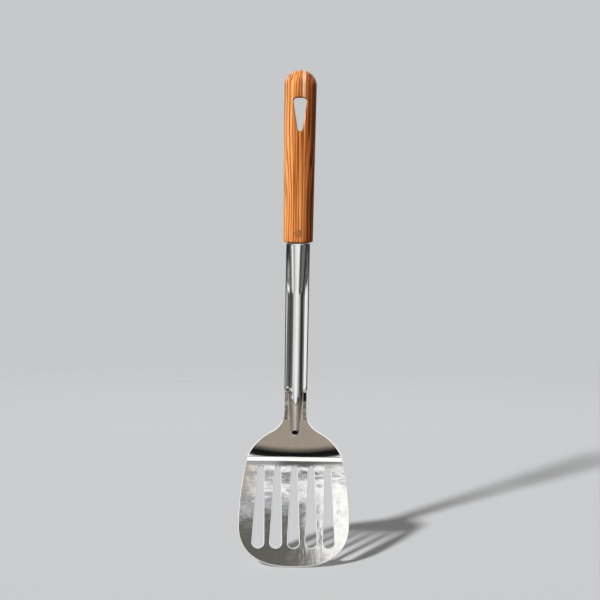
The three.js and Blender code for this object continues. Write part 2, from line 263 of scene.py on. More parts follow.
# %% [markdown]
# The blade is stamped flat and then bent, and it is made that way here. A box could be bevelled into
# shape, but the outline is the blade's character, so it is drawn first. It starts straight at the
# tang, swings out through a hollow neck, widens gently past the heel, and closes in a rounded tip. All
# of it is worked out from a few sizes, on the right side only, and mirrored.

# %% The blade's sizes
BLADE_WIDTH = 80 * MM
HEEL_WIDTH = 70 * MM
WIDEST = HEEL_MIDDLE + 48 * MM
TIP_ROUNDNESS = 2.5
TANG_TOP = 79.3 * MM
TANG_HALF_WIDTH = 7.3 * MM
FLANGE_END = 109.3 * MM
SEAT_GAP = 0.3 * MM
NECK_START = 127 * MM
NECK_HALF_WIDTH = 7.9 * MM
NECK_TURN = Vector((18.6 * MM, HEEL_MIDDLE - 19.3 * MM))
NECK_TURN_LEAN = math.radians(26)
NECK_CORNER_LEAN = math.radians(82)
HEEL_SIDE_LEAN = math.radians(70)
NECK_PULL = 6 * MM
HEEL_PULL = 7 * MM
print("the sheet is", round((BLADE_TIP - TANG_TOP) / MM, 1), "mm long from tang to tip")

# %% Curves for the outline


def lean(angle, length):
    return Vector((math.cos(angle), math.sin(angle))) * length


def bezier(start, start_pull, end_pull, end, steps):
    """Points of a cubic curve, without its last one."""
    points = []
    for i in range(steps):
        t = i / steps
        s = 1 - t
        near_start = start * s**3 + start_pull * 3 * s * s * t
        points.append(near_start + end_pull * 3 * s * t * t + end * t**3)
    return points


def between(start, end, count):
    """Even steps from start up to, but not including, end."""
    return [start + (end - start) * i / count for i in range(count)]


def side_half_width(along):
    share = (WIDEST - along) / (WIDEST - HEEL_MIDDLE)
    return BLADE_WIDTH / 2 - (BLADE_WIDTH - HEEL_WIDTH) / 2 * share * share


print("half width at the heel:", round(side_half_width(HEEL_START) / MM, 2), "mm")

# %% The right edge, from the tang to the tip
CURVE_STEPS = 20
SIDE_STEPS = 40
TIP_STEPS = 72


def neck_edge():
    """The hollow of the neck and the round shoulder that runs down into the heel."""
    corner = Vector((NECK_HALF_WIDTH, NECK_START))
    heel = Vector((side_half_width(HEEL_START), HEEL_START))
    neck_pull = lean(NECK_TURN_LEAN, NECK_PULL)
    hollow = bezier(
        corner, corner + lean(NECK_CORNER_LEAN, NECK_PULL), NECK_TURN - neck_pull, NECK_TURN, CURVE_STEPS
    )
    shoulder_pull = lean(NECK_TURN_LEAN, HEEL_PULL)
    heel_pull = lean(HEEL_SIDE_LEAN, HEEL_PULL)
    shoulder = bezier(NECK_TURN, NECK_TURN + shoulder_pull, heel - heel_pull, heel, CURVE_STEPS)
    return hollow + shoulder


def tip_edge():
    """A quarter of a rounded rectangle, from the widest place to the middle of the tip."""
    points = []
    for i in range(TIP_STEPS + 1):
        turn = math.pi / 2 * i / TIP_STEPS
        across = abs(math.cos(turn)) ** (2 / TIP_ROUNDNESS)
        down = math.sin(turn) ** (2 / TIP_ROUNDNESS)
        points.append(Vector((BLADE_WIDTH / 2 * across, WIDEST + (BLADE_TIP - WIDEST) * down)))
    points[-1].x = 0
    return points


step_out = FLANGE_END + SEAT_GAP
tang_edge = [(TANG_HALF_WIDTH, TANG_TOP), (TANG_HALF_WIDTH, step_out), (NECK_HALF_WIDTH, step_out)]
side_edge = [(side_half_width(along), along) for along in between(HEEL_START, WIDEST, SIDE_STEPS)]
right_edge = [Vector(p) for p in tang_edge] + neck_edge() + [Vector(p) for p in side_edge] + tip_edge()
print("points on the right edge:", len(right_edge))

# %% Lay the outline on the sheet
SHEET_THICKNESS = 1.2 * MM
RIM_DEPTH = 0.5 * MM


def drawn_in(points, distance):
    """The closed ring of points moved in towards its own inside."""
    count = len(points)
    area = sum(points[i - 1].cross(points[i]) for i in range(count))
    side = 1 if area > 0 else -1
    moved = []
    for i in range(count):
        before = (points[i] - points[i - 1]).normalized()
        after = (points[(i + 1) % count] - points[i]).normalized()
        left = Vector((-before.y - after.y, before.x + after.x)) / (1 + before.dot(after))
        moved.append(points[i] + left * side * distance)
    return moved


blade_outline = right_edge + [Vector((-p.x, p.y)) for p in reversed(right_edge[:-1])]
blade = ring("blade_sheet", [p.to_3d() for p in drawn_in(blade_outline, RIM_DEPTH)])
print("outline points:", len(blade.data.vertices))

# %% [markdown]
# Five slots let oil drain from the food. Such slots are punched while the sheet is flat, so here they
# are rings on the same flat sheet, narrow at the top, wide at the bottom and a little fanned.
# All the rings are filled as one face with holes, so no boolean cut is needed. The outline is drawn a
# rim's depth too small and the slots as much too wide, which leaves room for the rounded edge.

# %% The five slots
SLOT_COUNT = 5
SLOT_TOP = HEEL_MIDDLE + 5.4 * MM
SLOT_LENGTH = 62.8 * MM
SLOT_TOP_RADIUS = 2 * MM
SLOT_BOTTOM_RADIUS = 4.1 * MM
SLOT_TOP_PITCH = 12.2 * MM
SLOT_BOTTOM_PITCH = 12.7 * MM
SLOT_ARC_STEPS = 28


def round_ended(top, top_radius, bottom, bottom_radius, steps):
    """Two arcs of different radius joined by the straight flanks that touch both."""
    axis = top - bottom
    heading = math.atan2(axis.y, axis.x)
    flank = math.asin((top_radius - bottom_radius) / axis.length)
    half = math.pi / 2 + flank
    points = []
    for i in range(steps + 1):
        points.append(top + lean(heading - half + 2 * half * i / steps, top_radius))
    rest = 2 * math.pi - 2 * half
    for i in range(steps + 1):
        points.append(bottom + lean(heading + half + rest * i / steps, bottom_radius))
    return points


def slot_outline(place):
    top = Vector((place * SLOT_TOP_PITCH, SLOT_TOP + SLOT_TOP_RADIUS))
    bottom = Vector((place * SLOT_BOTTOM_PITCH, SLOT_TOP + SLOT_LENGTH - SLOT_BOTTOM_RADIUS))
    return round_ended(top, SLOT_TOP_RADIUS, bottom, SLOT_BOTTOM_RADIUS, SLOT_ARC_STEPS)


blank_rings = [blade]
for index in range(SLOT_COUNT):
    punched = drawn_in(slot_outline(index - (SLOT_COUNT - 1) / 2), -RIM_DEPTH)
    blank_rings.append(ring("slot", [p.to_3d() for p in punched]))
select_only(*blank_rings)
bpy.ops.object.join()
in_edit_mode(blade, lambda: bpy.ops.mesh.fill(use_beauty=True))
print("blank:", len(blade.data.polygons), "faces")

# %% [markdown]
# A face without inner edges can't bend. Subdividing would add edges everywhere, so the blank is
# bisected instead: close rows where the collar and the heel bend, and wide ones where it stays flat.

# %% Lay the bending grid over the blank
GRID = 4 * MM
HEEL_ROWS = 24
COLLAR_ROWS = 12
LEAD_IN_ROWS = 12


def bisect_blank(point, normal):
    bpy.ops.mesh.select_all(action="SELECT")
    bpy.ops.mesh.bisect(plane_co=point, plane_no=normal)


def lay_grid():
    rows = [HEEL_START + HEEL_ARC * i / HEEL_ROWS for i in range(HEEL_ROWS + 1)]
    rows += [HEEL_START - LEAD_IN + LEAD_IN * i / LEAD_IN_ROWS for i in range(LEAD_IN_ROWS)]
    rows += [COLLAR_START + COLLAR_ARC * i / COLLAR_ROWS for i in range(COLLAR_ROWS + 1)]
    plain = TANG_TOP + GRID
    while plain < BLADE_TIP:
        if not HEEL_START - LEAD_IN < plain < HEEL_END:
            rows.append(plain)
        plain += GRID
    for along in rows:
        bisect_blank((0, along, 0), (0, 1, 0))
    columns = int(BLADE_WIDTH / GRID)
    for i in range(1, columns):
        bisect_blank((-BLADE_WIDTH / 2 + i * GRID, 0, 0), (1, 0, 0))


in_edit_mode(blade, lay_grid)
print("blank with its grid:", len(blade.data.polygons), "faces")

# %% [markdown]
# A punched edge is tumbled until it is smooth, and the thin bright line round every slot comes from
# that. A bevel could round it, but the open rims are extruded step by step instead, along half an
# ellipse from the front face round to the back, so that every rim has the same section. The first
# helper finds, for each corner of a rim, the way out of the material. The second extrudes one step.

# %% The way out of each rim


def place_key(place):
    return (round(place.x, 8), round(place.y, 8), round(place.z, 8))


def rim_directions(mesh):
    """For each corner on the open rims: its place on the sheet and the way out of the material."""
    sheet = bmesh.new()
    sheet.from_mesh(mesh)
    found = {}
    for corner in sheet.verts:
        rim_edges = [e for e in corner.link_edges if e.is_boundary]
        if not rim_edges:
            continue
        normals = []
        for rim_edge in rim_edges:
            a, b = (v.co for v in rim_edge.verts)
            normal = Vector((a.y - b.y, b.x - a.x, 0)).normalized()
            inwards = rim_edge.link_faces[0].calc_center_median() - a
            normals.append(-normal if normal.dot(inwards) > 0 else normal)
        way = (normals[0] + normals[1]) / (1 + normals[0].dot(normals[1]))
        found[place_key(corner.co)] = (corner.co.copy(), way)
    sheet.free()
    return found


HALF_SHEET = SHEET_THICKNESS / 2
for corner in blade.data.vertices:
    corner.co.z = HALF_SHEET
known = rim_directions(blade.data)
print("corners on the rims:", len(known))

# %% Round the rims
RIM_STEPS = 8


def extrude_rims(obj, known, offset, height):
    """Extrudes every open rim and moves the new corners out and up."""
    select_only(obj)
    bpy.ops.object.mode_set(mode="EDIT")
    bpy.ops.mesh.select_mode(type="EDGE")
    bpy.ops.mesh.select_all(action="DESELECT")
    bpy.ops.mesh.select_non_manifold(
        extend=False, use_wire=False, use_multi_face=False, use_non_contiguous=False
    )
    bpy.ops.mesh.extrude_region_move()
    bpy.ops.object.mode_set(mode="OBJECT")
    moved = {}
    for corner in obj.data.vertices:
        if corner.select:
            start, way = known[place_key(corner.co)]
            corner.co = start + way * offset
            corner.co.z = height
            moved[place_key(corner.co)] = (start, way)
    return moved


for step in range(1, RIM_STEPS + 1):
    turn = math.pi * step / RIM_STEPS
    known = extrude_rims(blade, known, RIM_DEPTH * math.sin(turn), HALF_SHEET * math.cos(turn))
print("with rounded rims:", len(blade.data.polygons), "faces")

# %% [markdown]
# The back of the sheet is a copy of its front, one thickness lower, joined to the rims. Marking the
# edges where flat meets round keeps the flats flat when the piece is shaded smooth. Then moving every
# corner with `on_sheet` is the press brake: it bends front, back and rims as one sheet.

# %% Close the back and bend the blade
FLAT_ENOUGH = 0.999


def mark_rims(obj):
    """Marks the edges where the flat faces meet the rounded rims, so that both shade cleanly."""
    flat = {face.index for face in obj.data.polygons if abs(face.normal.z) > FLAT_ENOUGH}
    sides = {}
    for face in obj.data.polygons:
        for pair in face.edge_keys:
            sides.setdefault(pair, []).append(face.index in flat)
    for edge in obj.data.edges:
        edge.use_edge_sharp = len(set(sides[edge.key])) == 2


def is_front(face):
    return all(blade.data.vertices[i].co.z > HALF_SHEET - 1e-7 for i in face.vertices)


on_faces(
    blade,
    [face.index for face in blade.data.polygons if is_front(face)],
    lambda: bpy.ops.mesh.duplicate(),
    lambda: bpy.ops.transform.translate(value=(0, 0, -SHEET_THICKNESS)),
)
join_corners(blade)
mark_rims(blade)
for corner in blade.data.vertices:
    corner.co = on_sheet(corner.co.x, corner.co.z, corner.co.y)
join_corners(blade)
if volume(blade) < 0:
    turn_inside_out(blade)
print("blade:", triangles(blade), "triangles,", round(volume(blade) / MM**3), "cubic mm")

# %% [markdown]
# The shaft starts as a flat strip that is rolled into a tube. Its lower part is pressed round the
# blade's tang: a raised bead in the middle, and on each side a flange that folds back on itself. A
# sculpted tube could only come near this, so the pressed section is drawn exactly, from the bead's
# crest round one flange to the middle of the back, with its corners softened as steel bends.

# %% Paths for the pressed section


def evenly(points, count):
    """Points at even distances along a path."""
    lengths = [0.0]
    for a, b in zip(points, points[1:]):
        lengths.append(lengths[-1] + (b - a).length)
    spaced, k = [], 0
    for i in range(count):
        target = lengths[-1] * i / (count - 1)
        while k < len(points) - 2 and lengths[k + 1] < target:
            k += 1
        span = lengths[k + 1] - lengths[k]
        spaced.append(points[k].lerp(points[k + 1], (target - lengths[k]) / span if span else 0))
    return spaced


def softened(points, reach):
    """The path with its corners rounded, by averaging each point with its neighbours."""
    step = (points[1] - points[0]).length
    span = max(1, round(reach / step))
    rounded = []
    for i in range(len(points)):
        near = min(span, i, len(points) - 1 - i)
        group = points[i - near : i + near + 1]
        rounded.append(sum(group, Vector((0, 0))) / len(group))
    return rounded


corner_path = evenly([Vector((0, 0)), Vector((MM, 0)), Vector((MM, MM))], 5)
print("a corner in even steps:", [tuple(round(c / MM, 2) for c in p) for p in corner_path])

# %% The pressed section
FLANGE_TOP_HALF_WIDTH = 8.7 * MM
FLANGE_END_HALF_WIDTH = 8.4 * MM
BEAD_HALF_WIDTH = 5.15 * MM
BEAD_CREST = 7.4 * MM
LEFT_FOOT = 2.85 * MM
RIGHT_FOOT = 1.65 * MM
FLANGE_FOLD = 1.5 * MM
FOOT_SOFTNESS = 0.5 * MM
ARCH_STEPS = 60
FOLD_STEPS = 24
SECTION_POINTS = 400


def pressed_half(half_width, foot):
    """Half of the pressed section, from the bead's crest round the flange to the middle of the back."""
    path = []
    for i in range(ARCH_STEPS + 1):
        turn = math.pi / 2 * (1 - i / ARCH_STEPS)
        height = foot + (BEAD_CREST - foot) * math.sin(turn)
        path.append(Vector((BEAD_HALF_WIDTH * math.cos(turn), height)))
    fold_width = half_width - TANG_HALF_WIDTH
    for i in range(FOLD_STEPS + 1):
        turn = math.pi / 2 - math.pi * i / FOLD_STEPS
        across = TANG_HALF_WIDTH + fold_width * math.cos(turn)
        path.append(Vector((across, FLANGE_FOLD * math.sin(turn))))
    path.append(Vector((0, -FLANGE_FOLD)))
    return softened(evenly(path, SECTION_POINTS), FOOT_SOFTNESS)


FOOT_OF = {-1: LEFT_FOOT, 1: RIGHT_FOOT}
half_at_top = {side: pressed_half(FLANGE_TOP_HALF_WIDTH, foot) for side, foot in FOOT_OF.items()}
half_at_end = {side: pressed_half(FLANGE_END_HALF_WIDTH, foot) for side, foot in FOOT_OF.items()}
print("half of the pressed section:", len(half_at_top[1]), "points")

# %% [markdown]
# Going down the shaft, the strip has four stretches: the round spigot in the handle, the tube that
# turns into the pressed section, the bead with a thin strip on each side, and the tongue with its
# round nose. Listing the rows first, each with its kind and place, lets one function shape them all.

# %% The strip's rows
SPIGOT_RADIUS = 6.2 * MM
SPIGOT_LENGTH = 32 * MM
SHOULDER_ROUND = 0.8 * MM
PRESS_LENGTH = 42 * MM
STEP_DOWN = 1.0 * MM
STRIP_END = 130.7 * MM
TONGUE_STEP = 0.3 * MM
TONGUE_END = 143.4 * MM
TONGUE_NOSE = 6.0 * MM
TONGUE_LIP = 0.55 * MM
NOSE_START = TONGUE_END - TONGUE_LIP - TONGUE_NOSE

SPIGOT_ROWS = 8
SHOULDER_ROWS = 6
PRESS_ROWS = 40
BEAD_ROWS = 20
STRIP_ROWS = 40
TONGUE_ROWS = 8
NOSE_ROWS = 20


def shaft_rows():
    """Each row of the strip as (kind, distance along, measure)."""
    rows = [("round", along, SPIGOT_RADIUS) for along in between(-SPIGOT_LENGTH, SEAT_GAP, SPIGOT_ROWS)]
    rows.append(("round", SEAT_GAP, SPIGOT_RADIUS))
    for i in range(SHOULDER_ROWS + 1):
        turn = math.pi / 2 * i / SHOULDER_ROWS
        inset = SHOULDER_ROUND * (1 - math.sin(turn))
        rows.append(("pressed", SEAT_GAP + SHOULDER_ROUND * (1 - math.cos(turn)), inset))
    press_start = SEAT_GAP + 2 * SHOULDER_ROUND
    press_end = press_start + PRESS_LENGTH
    rows += [("pressed", along, 0) for along in between(press_start, press_end, PRESS_ROWS)]
    rows += [("pressed", along, 0) for along in between(press_end, FLANGE_END, BEAD_ROWS)]
    rows.append(("pressed", FLANGE_END, 0))
    rows += [("strip", along, 0) for along in between(FLANGE_END + STEP_DOWN, STRIP_END, STRIP_ROWS)]
    rows.append(("strip", STRIP_END, 0))
    rows += [("tongue", along, 0) for along in between(STRIP_END + TONGUE_STEP, NOSE_START, TONGUE_ROWS)]
    rows += [("tongue", NOSE_START, math.pi / 2 * i / NOSE_ROWS) for i in range(NOSE_ROWS + 1)]
    return rows


rows = shaft_rows()
last_full_row = max(i for i, row in enumerate(rows) if row[0] == "pressed")
last_strip_row = max(i for i, row in enumerate(rows) if row[0] == "strip")
print("rows:", len(rows))

# %% [markdown]
# Pressing isn't sudden: the tube gives way little by little over 42 mm, and near the nose the bead
# sinks and narrows in the same way. One ramp serves all three. It is even but for one eased end,
# because polished steel shows any kink in such a change as a kink in its reflections.

# %% How the section changes down the shaft
SOFT_START = 8 * MM
PRESSED_AT_HANDLE = 0.3
CREST_FALL_START = 113 * MM
TONGUE_CREST = 5.2 * MM
NARROWING_START = 111 * MM
TONGUE_HALF_WIDTH = 3.65 * MM


def soft_ramp(gone, whole):
    """The share of a whole length that is gone, even but for a soft beginning."""
    gone = max(gone, 0)
    eased = gone * gone / (2 * SOFT_START) if gone < SOFT_START else gone - SOFT_START / 2
    return eased / (whole - SOFT_START / 2)


def towards_nose(start, along):
    return soft_ramp(along - start, NOSE_START - start)


def crest_at(along):
    return BEAD_CREST + (TONGUE_CREST - BEAD_CREST) * towards_nose(CREST_FALL_START, along)


def bead_half_width_at(along):
    narrowing = (TONGUE_HALF_WIDTH - BEAD_HALF_WIDTH) * towards_nose(NARROWING_START, along)
    return BEAD_HALF_WIDTH + narrowing


def share_pressed(along):
    """How far the section has changed from round to pressed."""
    return 1 - (1 - PRESSED_AT_HANDLE) * soft_ramp(PRESS_LENGTH - along, PRESS_LENGTH)


print("crest at the nose:", round(crest_at(NOSE_START) / MM, 2), "mm")

# %% A place on the pressed tube
TUBE_RADIUS = 8.95 * MM


def pressed_point(side, share, along):
    """Where a share of the way from crest to back lies on the section at a distance along."""
    turn = math.pi * share
    foot = FOOT_OF[side]
    top, end = half_at_top[side], half_at_end[side]
    open_tube = Vector((TUBE_RADIUS * math.sin(turn), SHEET_SETBACK + TUBE_RADIUS * math.cos(turn)))
    index = share * (len(top) - 1)
    low = min(int(index), len(top) - 2)
    down = min(max((along - PRESS_LENGTH) / (FLANGE_END - PRESS_LENGTH), 0), 1)
    half = [top[k].lerp(end[k], down) for k in (low, low + 1)]
    pressed = half[0].lerp(half[1], index - low)
    if pressed.y > foot:
        pressed.y = foot + (pressed.y - foot) * (crest_at(along) - foot) / (BEAD_CREST - foot)
    return open_tube.lerp(pressed, share_pressed(along))


shares = [i / SECTION_POINTS for i in range(SECTION_POINTS + 1)]
widest = max(pressed_point(1, share, FLANGE_END / 2).x for share in shares)
print("half width at mid shaft:", round(widest / MM, 2), "mm")

# %% [markdown]
# Past the flanges the bead runs on as a tongue that is spot-welded to the blade's neck. A thin strip
# of each flange stays beside it and rises in shallow waves between the welds. The tongue's sides
# grow steeper towards the nose, and a narrow lip runs round its foot. Both are formulas of the same
# two measures, the share of the way out from the crest and the distance along, so they join up.

# %% The side strips and the tongue
ROUND_COLUMNS = 144
TUBE_WALL = 0.8 * MM
STRIP_CLEARANCE = 0.1 * MM
STRIP_HALF_WIDTH = 7.9 * MM
STRIP_TOP = HALF_SHEET + TUBE_WALL + STRIP_CLEARANCE
STRIP_WAVE = 0.45 * MM
STRIP_WAVES = 2
STRIP_INNER_WAVE = 0.4
TONGUE_SHARE = 0.40
LIP_SHARE = 0.88
NOSE_SLOPE = math.radians(60)

edge_index = next(i for i, p in enumerate(half_at_end[1]) if p.x > STRIP_HALF_WIDTH)
EDGE_COLUMN = round(edge_index / (len(half_at_end[1]) - 1) * ROUND_COLUMNS / 2)
EDGE_SHARE = 2 * EDGE_COLUMN / ROUND_COLUMNS


def strip_height(along, out):
    """The side strip's height: it lies on the tang and rises in shallow waves between its welds."""
    phase = (along - FLANGE_END) / (STRIP_END - FLANGE_END) * STRIP_WAVES
    wave = STRIP_WAVE * (0.5 - 0.5 * math.cos(2 * math.pi * phase))
    return STRIP_TOP + wave * (STRIP_INNER_WAVE + (1 - STRIP_INNER_WAVE) * out)


def tongue_place(share, along, turn):
    """A point of the bead below the flanges as (across, height, along): arch first, then its lip."""
    half_width = bead_half_width_at(along)
    arch = min(share / LIP_SHARE, 1)
    lip = TONGUE_LIP * max(share - LIP_SHARE, 0) / (1 - LIP_SHARE)
    foot_slope = NOSE_SLOPE * towards_nose(NARROWING_START, along)
    lean_in = foot_slope + (math.pi / 2 - foot_slope) * (1 - arch)
    scale = math.cos(turn)
    rise = (crest_at(along) - STRIP_TOP) * scale * scale
    out_share = math.cos(lean_in) / math.cos(foot_slope)
    up_share = (math.sin(lean_in) - math.sin(foot_slope)) / (1 - math.sin(foot_slope))
    way = Vector((math.cos(turn) / half_width, math.sin(turn) / TONGUE_NOSE)).normalized() * lip
    across = half_width * scale * out_share + way.x
    return across, STRIP_TOP + rise * up_share, along + TONGUE_NOSE * math.sin(turn) + way.y


print("tongue ends at", round(tongue_place(1, NOSE_START, math.pi / 2)[2] / MM, 2), "mm along")

# %% [markdown]
# Now the strip itself: a grid primitive with one row for each row above, and enough columns for a
# smooth tube. The corners of the grid move onto their places, which rolls and presses the strip in one
# go, and the waste beside the tongue and the strips is deleted, as a press trims it.

# %% Roll and press the strip


def shaft_point(column, row):
    side = 2 * column / ROUND_COLUMNS - 1
    share = abs(side)
    kind, along, measure = rows[row]
    if kind == "round":
        turn = math.pi * share
        across, height = measure * math.sin(turn), SHEET_SETBACK + measure * math.cos(turn)
    elif kind == "pressed":
        place = pressed_point(-1 if side < 0 else 1, share, along)
        middle = Vector((0, SHEET_SETBACK))
        across, height = place.lerp(middle, measure / TUBE_RADIUS)
    elif share <= TONGUE_SHARE:
        across, height, along = tongue_place(share / TONGUE_SHARE, along, measure)
    else:
        out = min((share - TONGUE_SHARE) / (EDGE_SHARE - TONGUE_SHARE), 1)
        inner = bead_half_width_at(along) + TONGUE_LIP
        across = inner + (STRIP_HALF_WIDTH - inner) * out
        height = strip_height(along, out)
    return on_sheet(math.copysign(across, side), height, along)


bpy.ops.object.select_all(action="DESELECT")
bpy.ops.mesh.primitive_grid_add(x_subdivisions=ROUND_COLUMNS, y_subdivisions=len(rows) - 1, size=1)
shaft = bpy.context.object
shaft.name = "pressed_shaft"
shaft.data.name = "pressed_shaft"
cells = {}
for vertex in shaft.data.vertices:
    column = round((vertex.co.x + 0.5) * ROUND_COLUMNS)
    row = round((vertex.co.y + 0.5) * (len(rows) - 1))
    cells[vertex.index] = (column, row)
for vertex in shaft.data.vertices:
    vertex.co = shaft_point(*cells[vertex.index])
print("pressed strip:", len(shaft.data.polygons), "faces")

# %% Trim the waste


def is_waste(corners):
    """Whether a face lies past the end of the flange, the side strip or the tongue."""
    furthest = max(row for column, row in corners)
    share = max(abs(2 * column / ROUND_COLUMNS - 1) for column, row in corners)
    past_flange = furthest > last_full_row and share > EDGE_SHARE + 1e-6
    past_strip = furthest > last_strip_row and share > TONGUE_SHARE + 1e-6
    return past_flange or past_strip


waste = [face.index for face in shaft.data.polygons if is_waste([cells[i] for i in face.vertices])]
on_faces(shaft, waste, lambda: bpy.ops.mesh.delete(type="FACE"))
join_corners(shaft)
crest_face = min(shaft.data.polygons, key=lambda face: face.center.y)
if crest_face.normal.y > 0:
    turn_inside_out(shaft)
print("trimmed strip:", len(shaft.data.polygons), "faces,", len(waste), "cut off")

# %% [markdown]
# Solidify gives the strip its 0.8 mm wall, inwards, so the outside stays as it was pressed. Water that
# gets into a tube has to come out again: the small oval hole in the tongue's nose is the vent, cut by
# a squashed bar. A second bar drills the hole for the cross pin in the spigot.

# %% The shaft's wall, vent and pin hole
VENT_RADIUS = 2.2 * MM
VENT_SQUASH = 0.64
VENT_INSET = 3.3 * MM
VENT_TILT = math.radians(11)
VENT_CUT = 5 * MM
PIN_Z = HANDLE_END + 6.6 * MM
PIN_RADIUS = 2 * MM
PIN_CUT = 20 * MM
WALL_EDGE_ROUND = 0.10 * MM
BAR_CORNERS = 48


def bar(name, radius, length, middle, tilt=0, squash=1):
    """A bar from front to back, tilted up from level by an angle, and squashed in height if asked."""
    bpy.ops.object.select_all(action="DESELECT")
    bpy.ops.mesh.primitive_cylinder_add(
        vertices=BAR_CORNERS, radius=radius, depth=length, location=middle
    )
    made = bpy.context.object
    made.name = name
    made.rotation_euler = (math.pi / 2 - tilt, 0, 0)
    made.scale = (1, squash, 1)
    bpy.ops.object.transform_apply(location=True, rotation=True, scale=True)
    return made


finish_with(shaft, "SOLIDIFY", thickness=TUBE_WALL, offset=-1, use_even_offset=True)
vent_middle = on_sheet(0, TONGUE_CREST, TONGUE_END - VENT_INSET)
cut(shaft, bar("vent", VENT_RADIUS, VENT_CUT, vent_middle, VENT_TILT, VENT_SQUASH))
cut(shaft, bar("pin_hole", PIN_RADIUS, PIN_CUT, (0, 0, PIN_Z)))
sharp = math.radians(55)
finish_with(
    shaft, "BEVEL", width=WALL_EDGE_ROUND, segments=2, limit_method="ANGLE", angle_limit=sharp
)
print("shaft:", triangles(shaft), "triangles")

# %% [markdown]
# The handle is turned on a lathe. Spinning a profile would do, but growing it ring by ring, with an
# extrusion for each ring, gives the same shape with even faces and without a seam. The rings start in
# the bore, come out round its mouth, and climb the rounded end, the slight taper and the dome.

# %% A skin from rings


def skin(name, rings):
    """A closed skin: the first ring is filled, then extruded from ring to ring and filled again."""
    made = ring(name, rings[0])
    count = len(rings[0])
    select_only(made)
    bpy.ops.object.mode_set(mode="EDIT")
    bpy.ops.mesh.select_all(action="SELECT")
    for _ in rings[1:]:
        bpy.ops.mesh.extrude_region_move()
    bpy.ops.object.mode_set(mode="OBJECT")
    for level, points in enumerate(rings):
        for place, point in enumerate(points):
            made.data.vertices[level * count + place].co = point
    in_edit_mode(
        made,
        lambda: bpy.ops.mesh.remove_doubles(threshold=1e-7),
        lambda: bpy.ops.mesh.fill_holes(sides=0),
        lambda: bpy.ops.mesh.normals_make_consistent(inside=False),
    )
    if volume(made) < 0:
        turn_inside_out(made)
    return made


LATHE_CORNERS = 160


def circle_points(radius, z):
    turns = [2 * math.pi * i / LATHE_CORNERS for i in range(LATHE_CORNERS)]
    return [Vector((radius * math.cos(a), radius * math.sin(a), z)) for a in turns]


print("corners round the handle:", len(circle_points(MM, 0)))

# %% Turn the handle
HANDLE_TOP = 19.9 * MM
HANDLE_TOP_RADIUS = 11.7 * MM
HANDLE_END_RADIUS = 10.7 * MM
DOME_HEIGHT = 11.2 * MM
HANDLE_END_ROUND = 1.1 * MM
BORE_RADIUS = SPIGOT_RADIUS + SEAT_GAP
BORE_TOP = HANDLE_END + SPIGOT_LENGTH + 2 * MM
BORE_CHAMFER = 0.5 * MM
END_ROWS = 8
TAPER_ROWS = 28
DOME_ROWS = 32


def handle_radius(z):
    share = (z - HANDLE_END) / (HANDLE_TOP - DOME_HEIGHT - HANDLE_END)
    return HANDLE_END_RADIUS + (HANDLE_TOP_RADIUS - HANDLE_END_RADIUS) * share


def handle_outside():
    """The turned outline as (radius, z), from the lower end to the top of the dome."""
    outline = []
    low_radius = handle_radius(HANDLE_END + HANDLE_END_ROUND) - HANDLE_END_ROUND
    for i in range(END_ROWS + 1):
        turn = math.pi / 2 * i / END_ROWS
        radius = low_radius + HANDLE_END_ROUND * math.sin(turn)
        outline.append((radius, HANDLE_END + HANDLE_END_ROUND * (1 - math.cos(turn))))
    dome_base = HANDLE_TOP - DOME_HEIGHT
    for z in between(HANDLE_END + HANDLE_END_ROUND, dome_base, TAPER_ROWS)[1:]:
        outline.append((handle_radius(z), z))
    for i in range(DOME_ROWS):
        turn = math.pi / 2 * i / DOME_ROWS
        outline.append((HANDLE_TOP_RADIUS * math.cos(turn), dome_base + DOME_HEIGHT * math.sin(turn)))
    outline.append((0, HANDLE_TOP))
    return outline


bore = [
    (BORE_RADIUS, BORE_TOP),
    (BORE_RADIUS, HANDLE_END + BORE_CHAMFER),
    (BORE_RADIUS + BORE_CHAMFER, HANDLE_END),
]
handle = skin("turned_handle", [circle_points(r, z) for r, z in bore + handle_outside()])
print("turned handle:", len(handle.data.polygons), "faces")

# %% [markdown]
# The hang hole is a teardrop through the handle, broad at the top where the hook bears. Its edge was
# sanded, so it is soft all the way round a curved surface. A bevel could follow the cut, but here the
# cutter itself flares out: its rings follow the handle's surface and open like a bell.

# %% The teardrop
HOLE_WIDTH = 9.8 * MM
HOLE_CORNER_RADIUS = 2.7 * MM
HOLE_TIP_RADIUS = 1.7 * MM
HOLE_LENGTH = 23.9 * MM
HOLE_POINTS = 120


def hole_outline(wider):
    """The hull of two upper corner circles and a small one at the tip, made wider all round."""
    corner_x = HOLE_WIDTH / 2 - HOLE_CORNER_RADIUS
    circles = [
        (Vector((corner_x, -HOLE_CORNER_RADIUS)), HOLE_CORNER_RADIUS),
        (Vector((-corner_x, -HOLE_CORNER_RADIUS)), HOLE_CORNER_RADIUS),
        (Vector((0, HOLE_TIP_RADIUS - HOLE_LENGTH)), HOLE_TIP_RADIUS),
    ]
    points = []
    for i in range(HOLE_POINTS):
        way = lean(2 * math.pi * (i + 0.5) / HOLE_POINTS, 1)
        middle, radius = max(circles, key=lambda circle: circle[0].dot(way) + circle[1])
        points.append(middle + way * (radius + wider))
    return points


print("hole width:", round(2 * max(p.x for p in hole_outline(0)) / MM, 2), "mm")

# %% Cut the hang hole
RIM_ROUND = 1.1 * MM
RIM_STOP = math.radians(72)
ROUND_STEPS = 6
CUTTER_FLARE = 3 * MM
CUTTER_RISE = 1 * MM
CUTTER_REACH = 14 * MM


def hole_ring(wider, depth, side):
    """One ring of the cutter at a depth below the handle's round surface, on one side of it."""
    points = []
    for place in hole_outline(wider):
        radius = min(handle_radius(place.y), HANDLE_TOP_RADIUS)
        surface = math.sqrt(radius**2 - place.x**2)
        points.append(Vector((place.x, side * (surface - depth), place.y)))
    return points


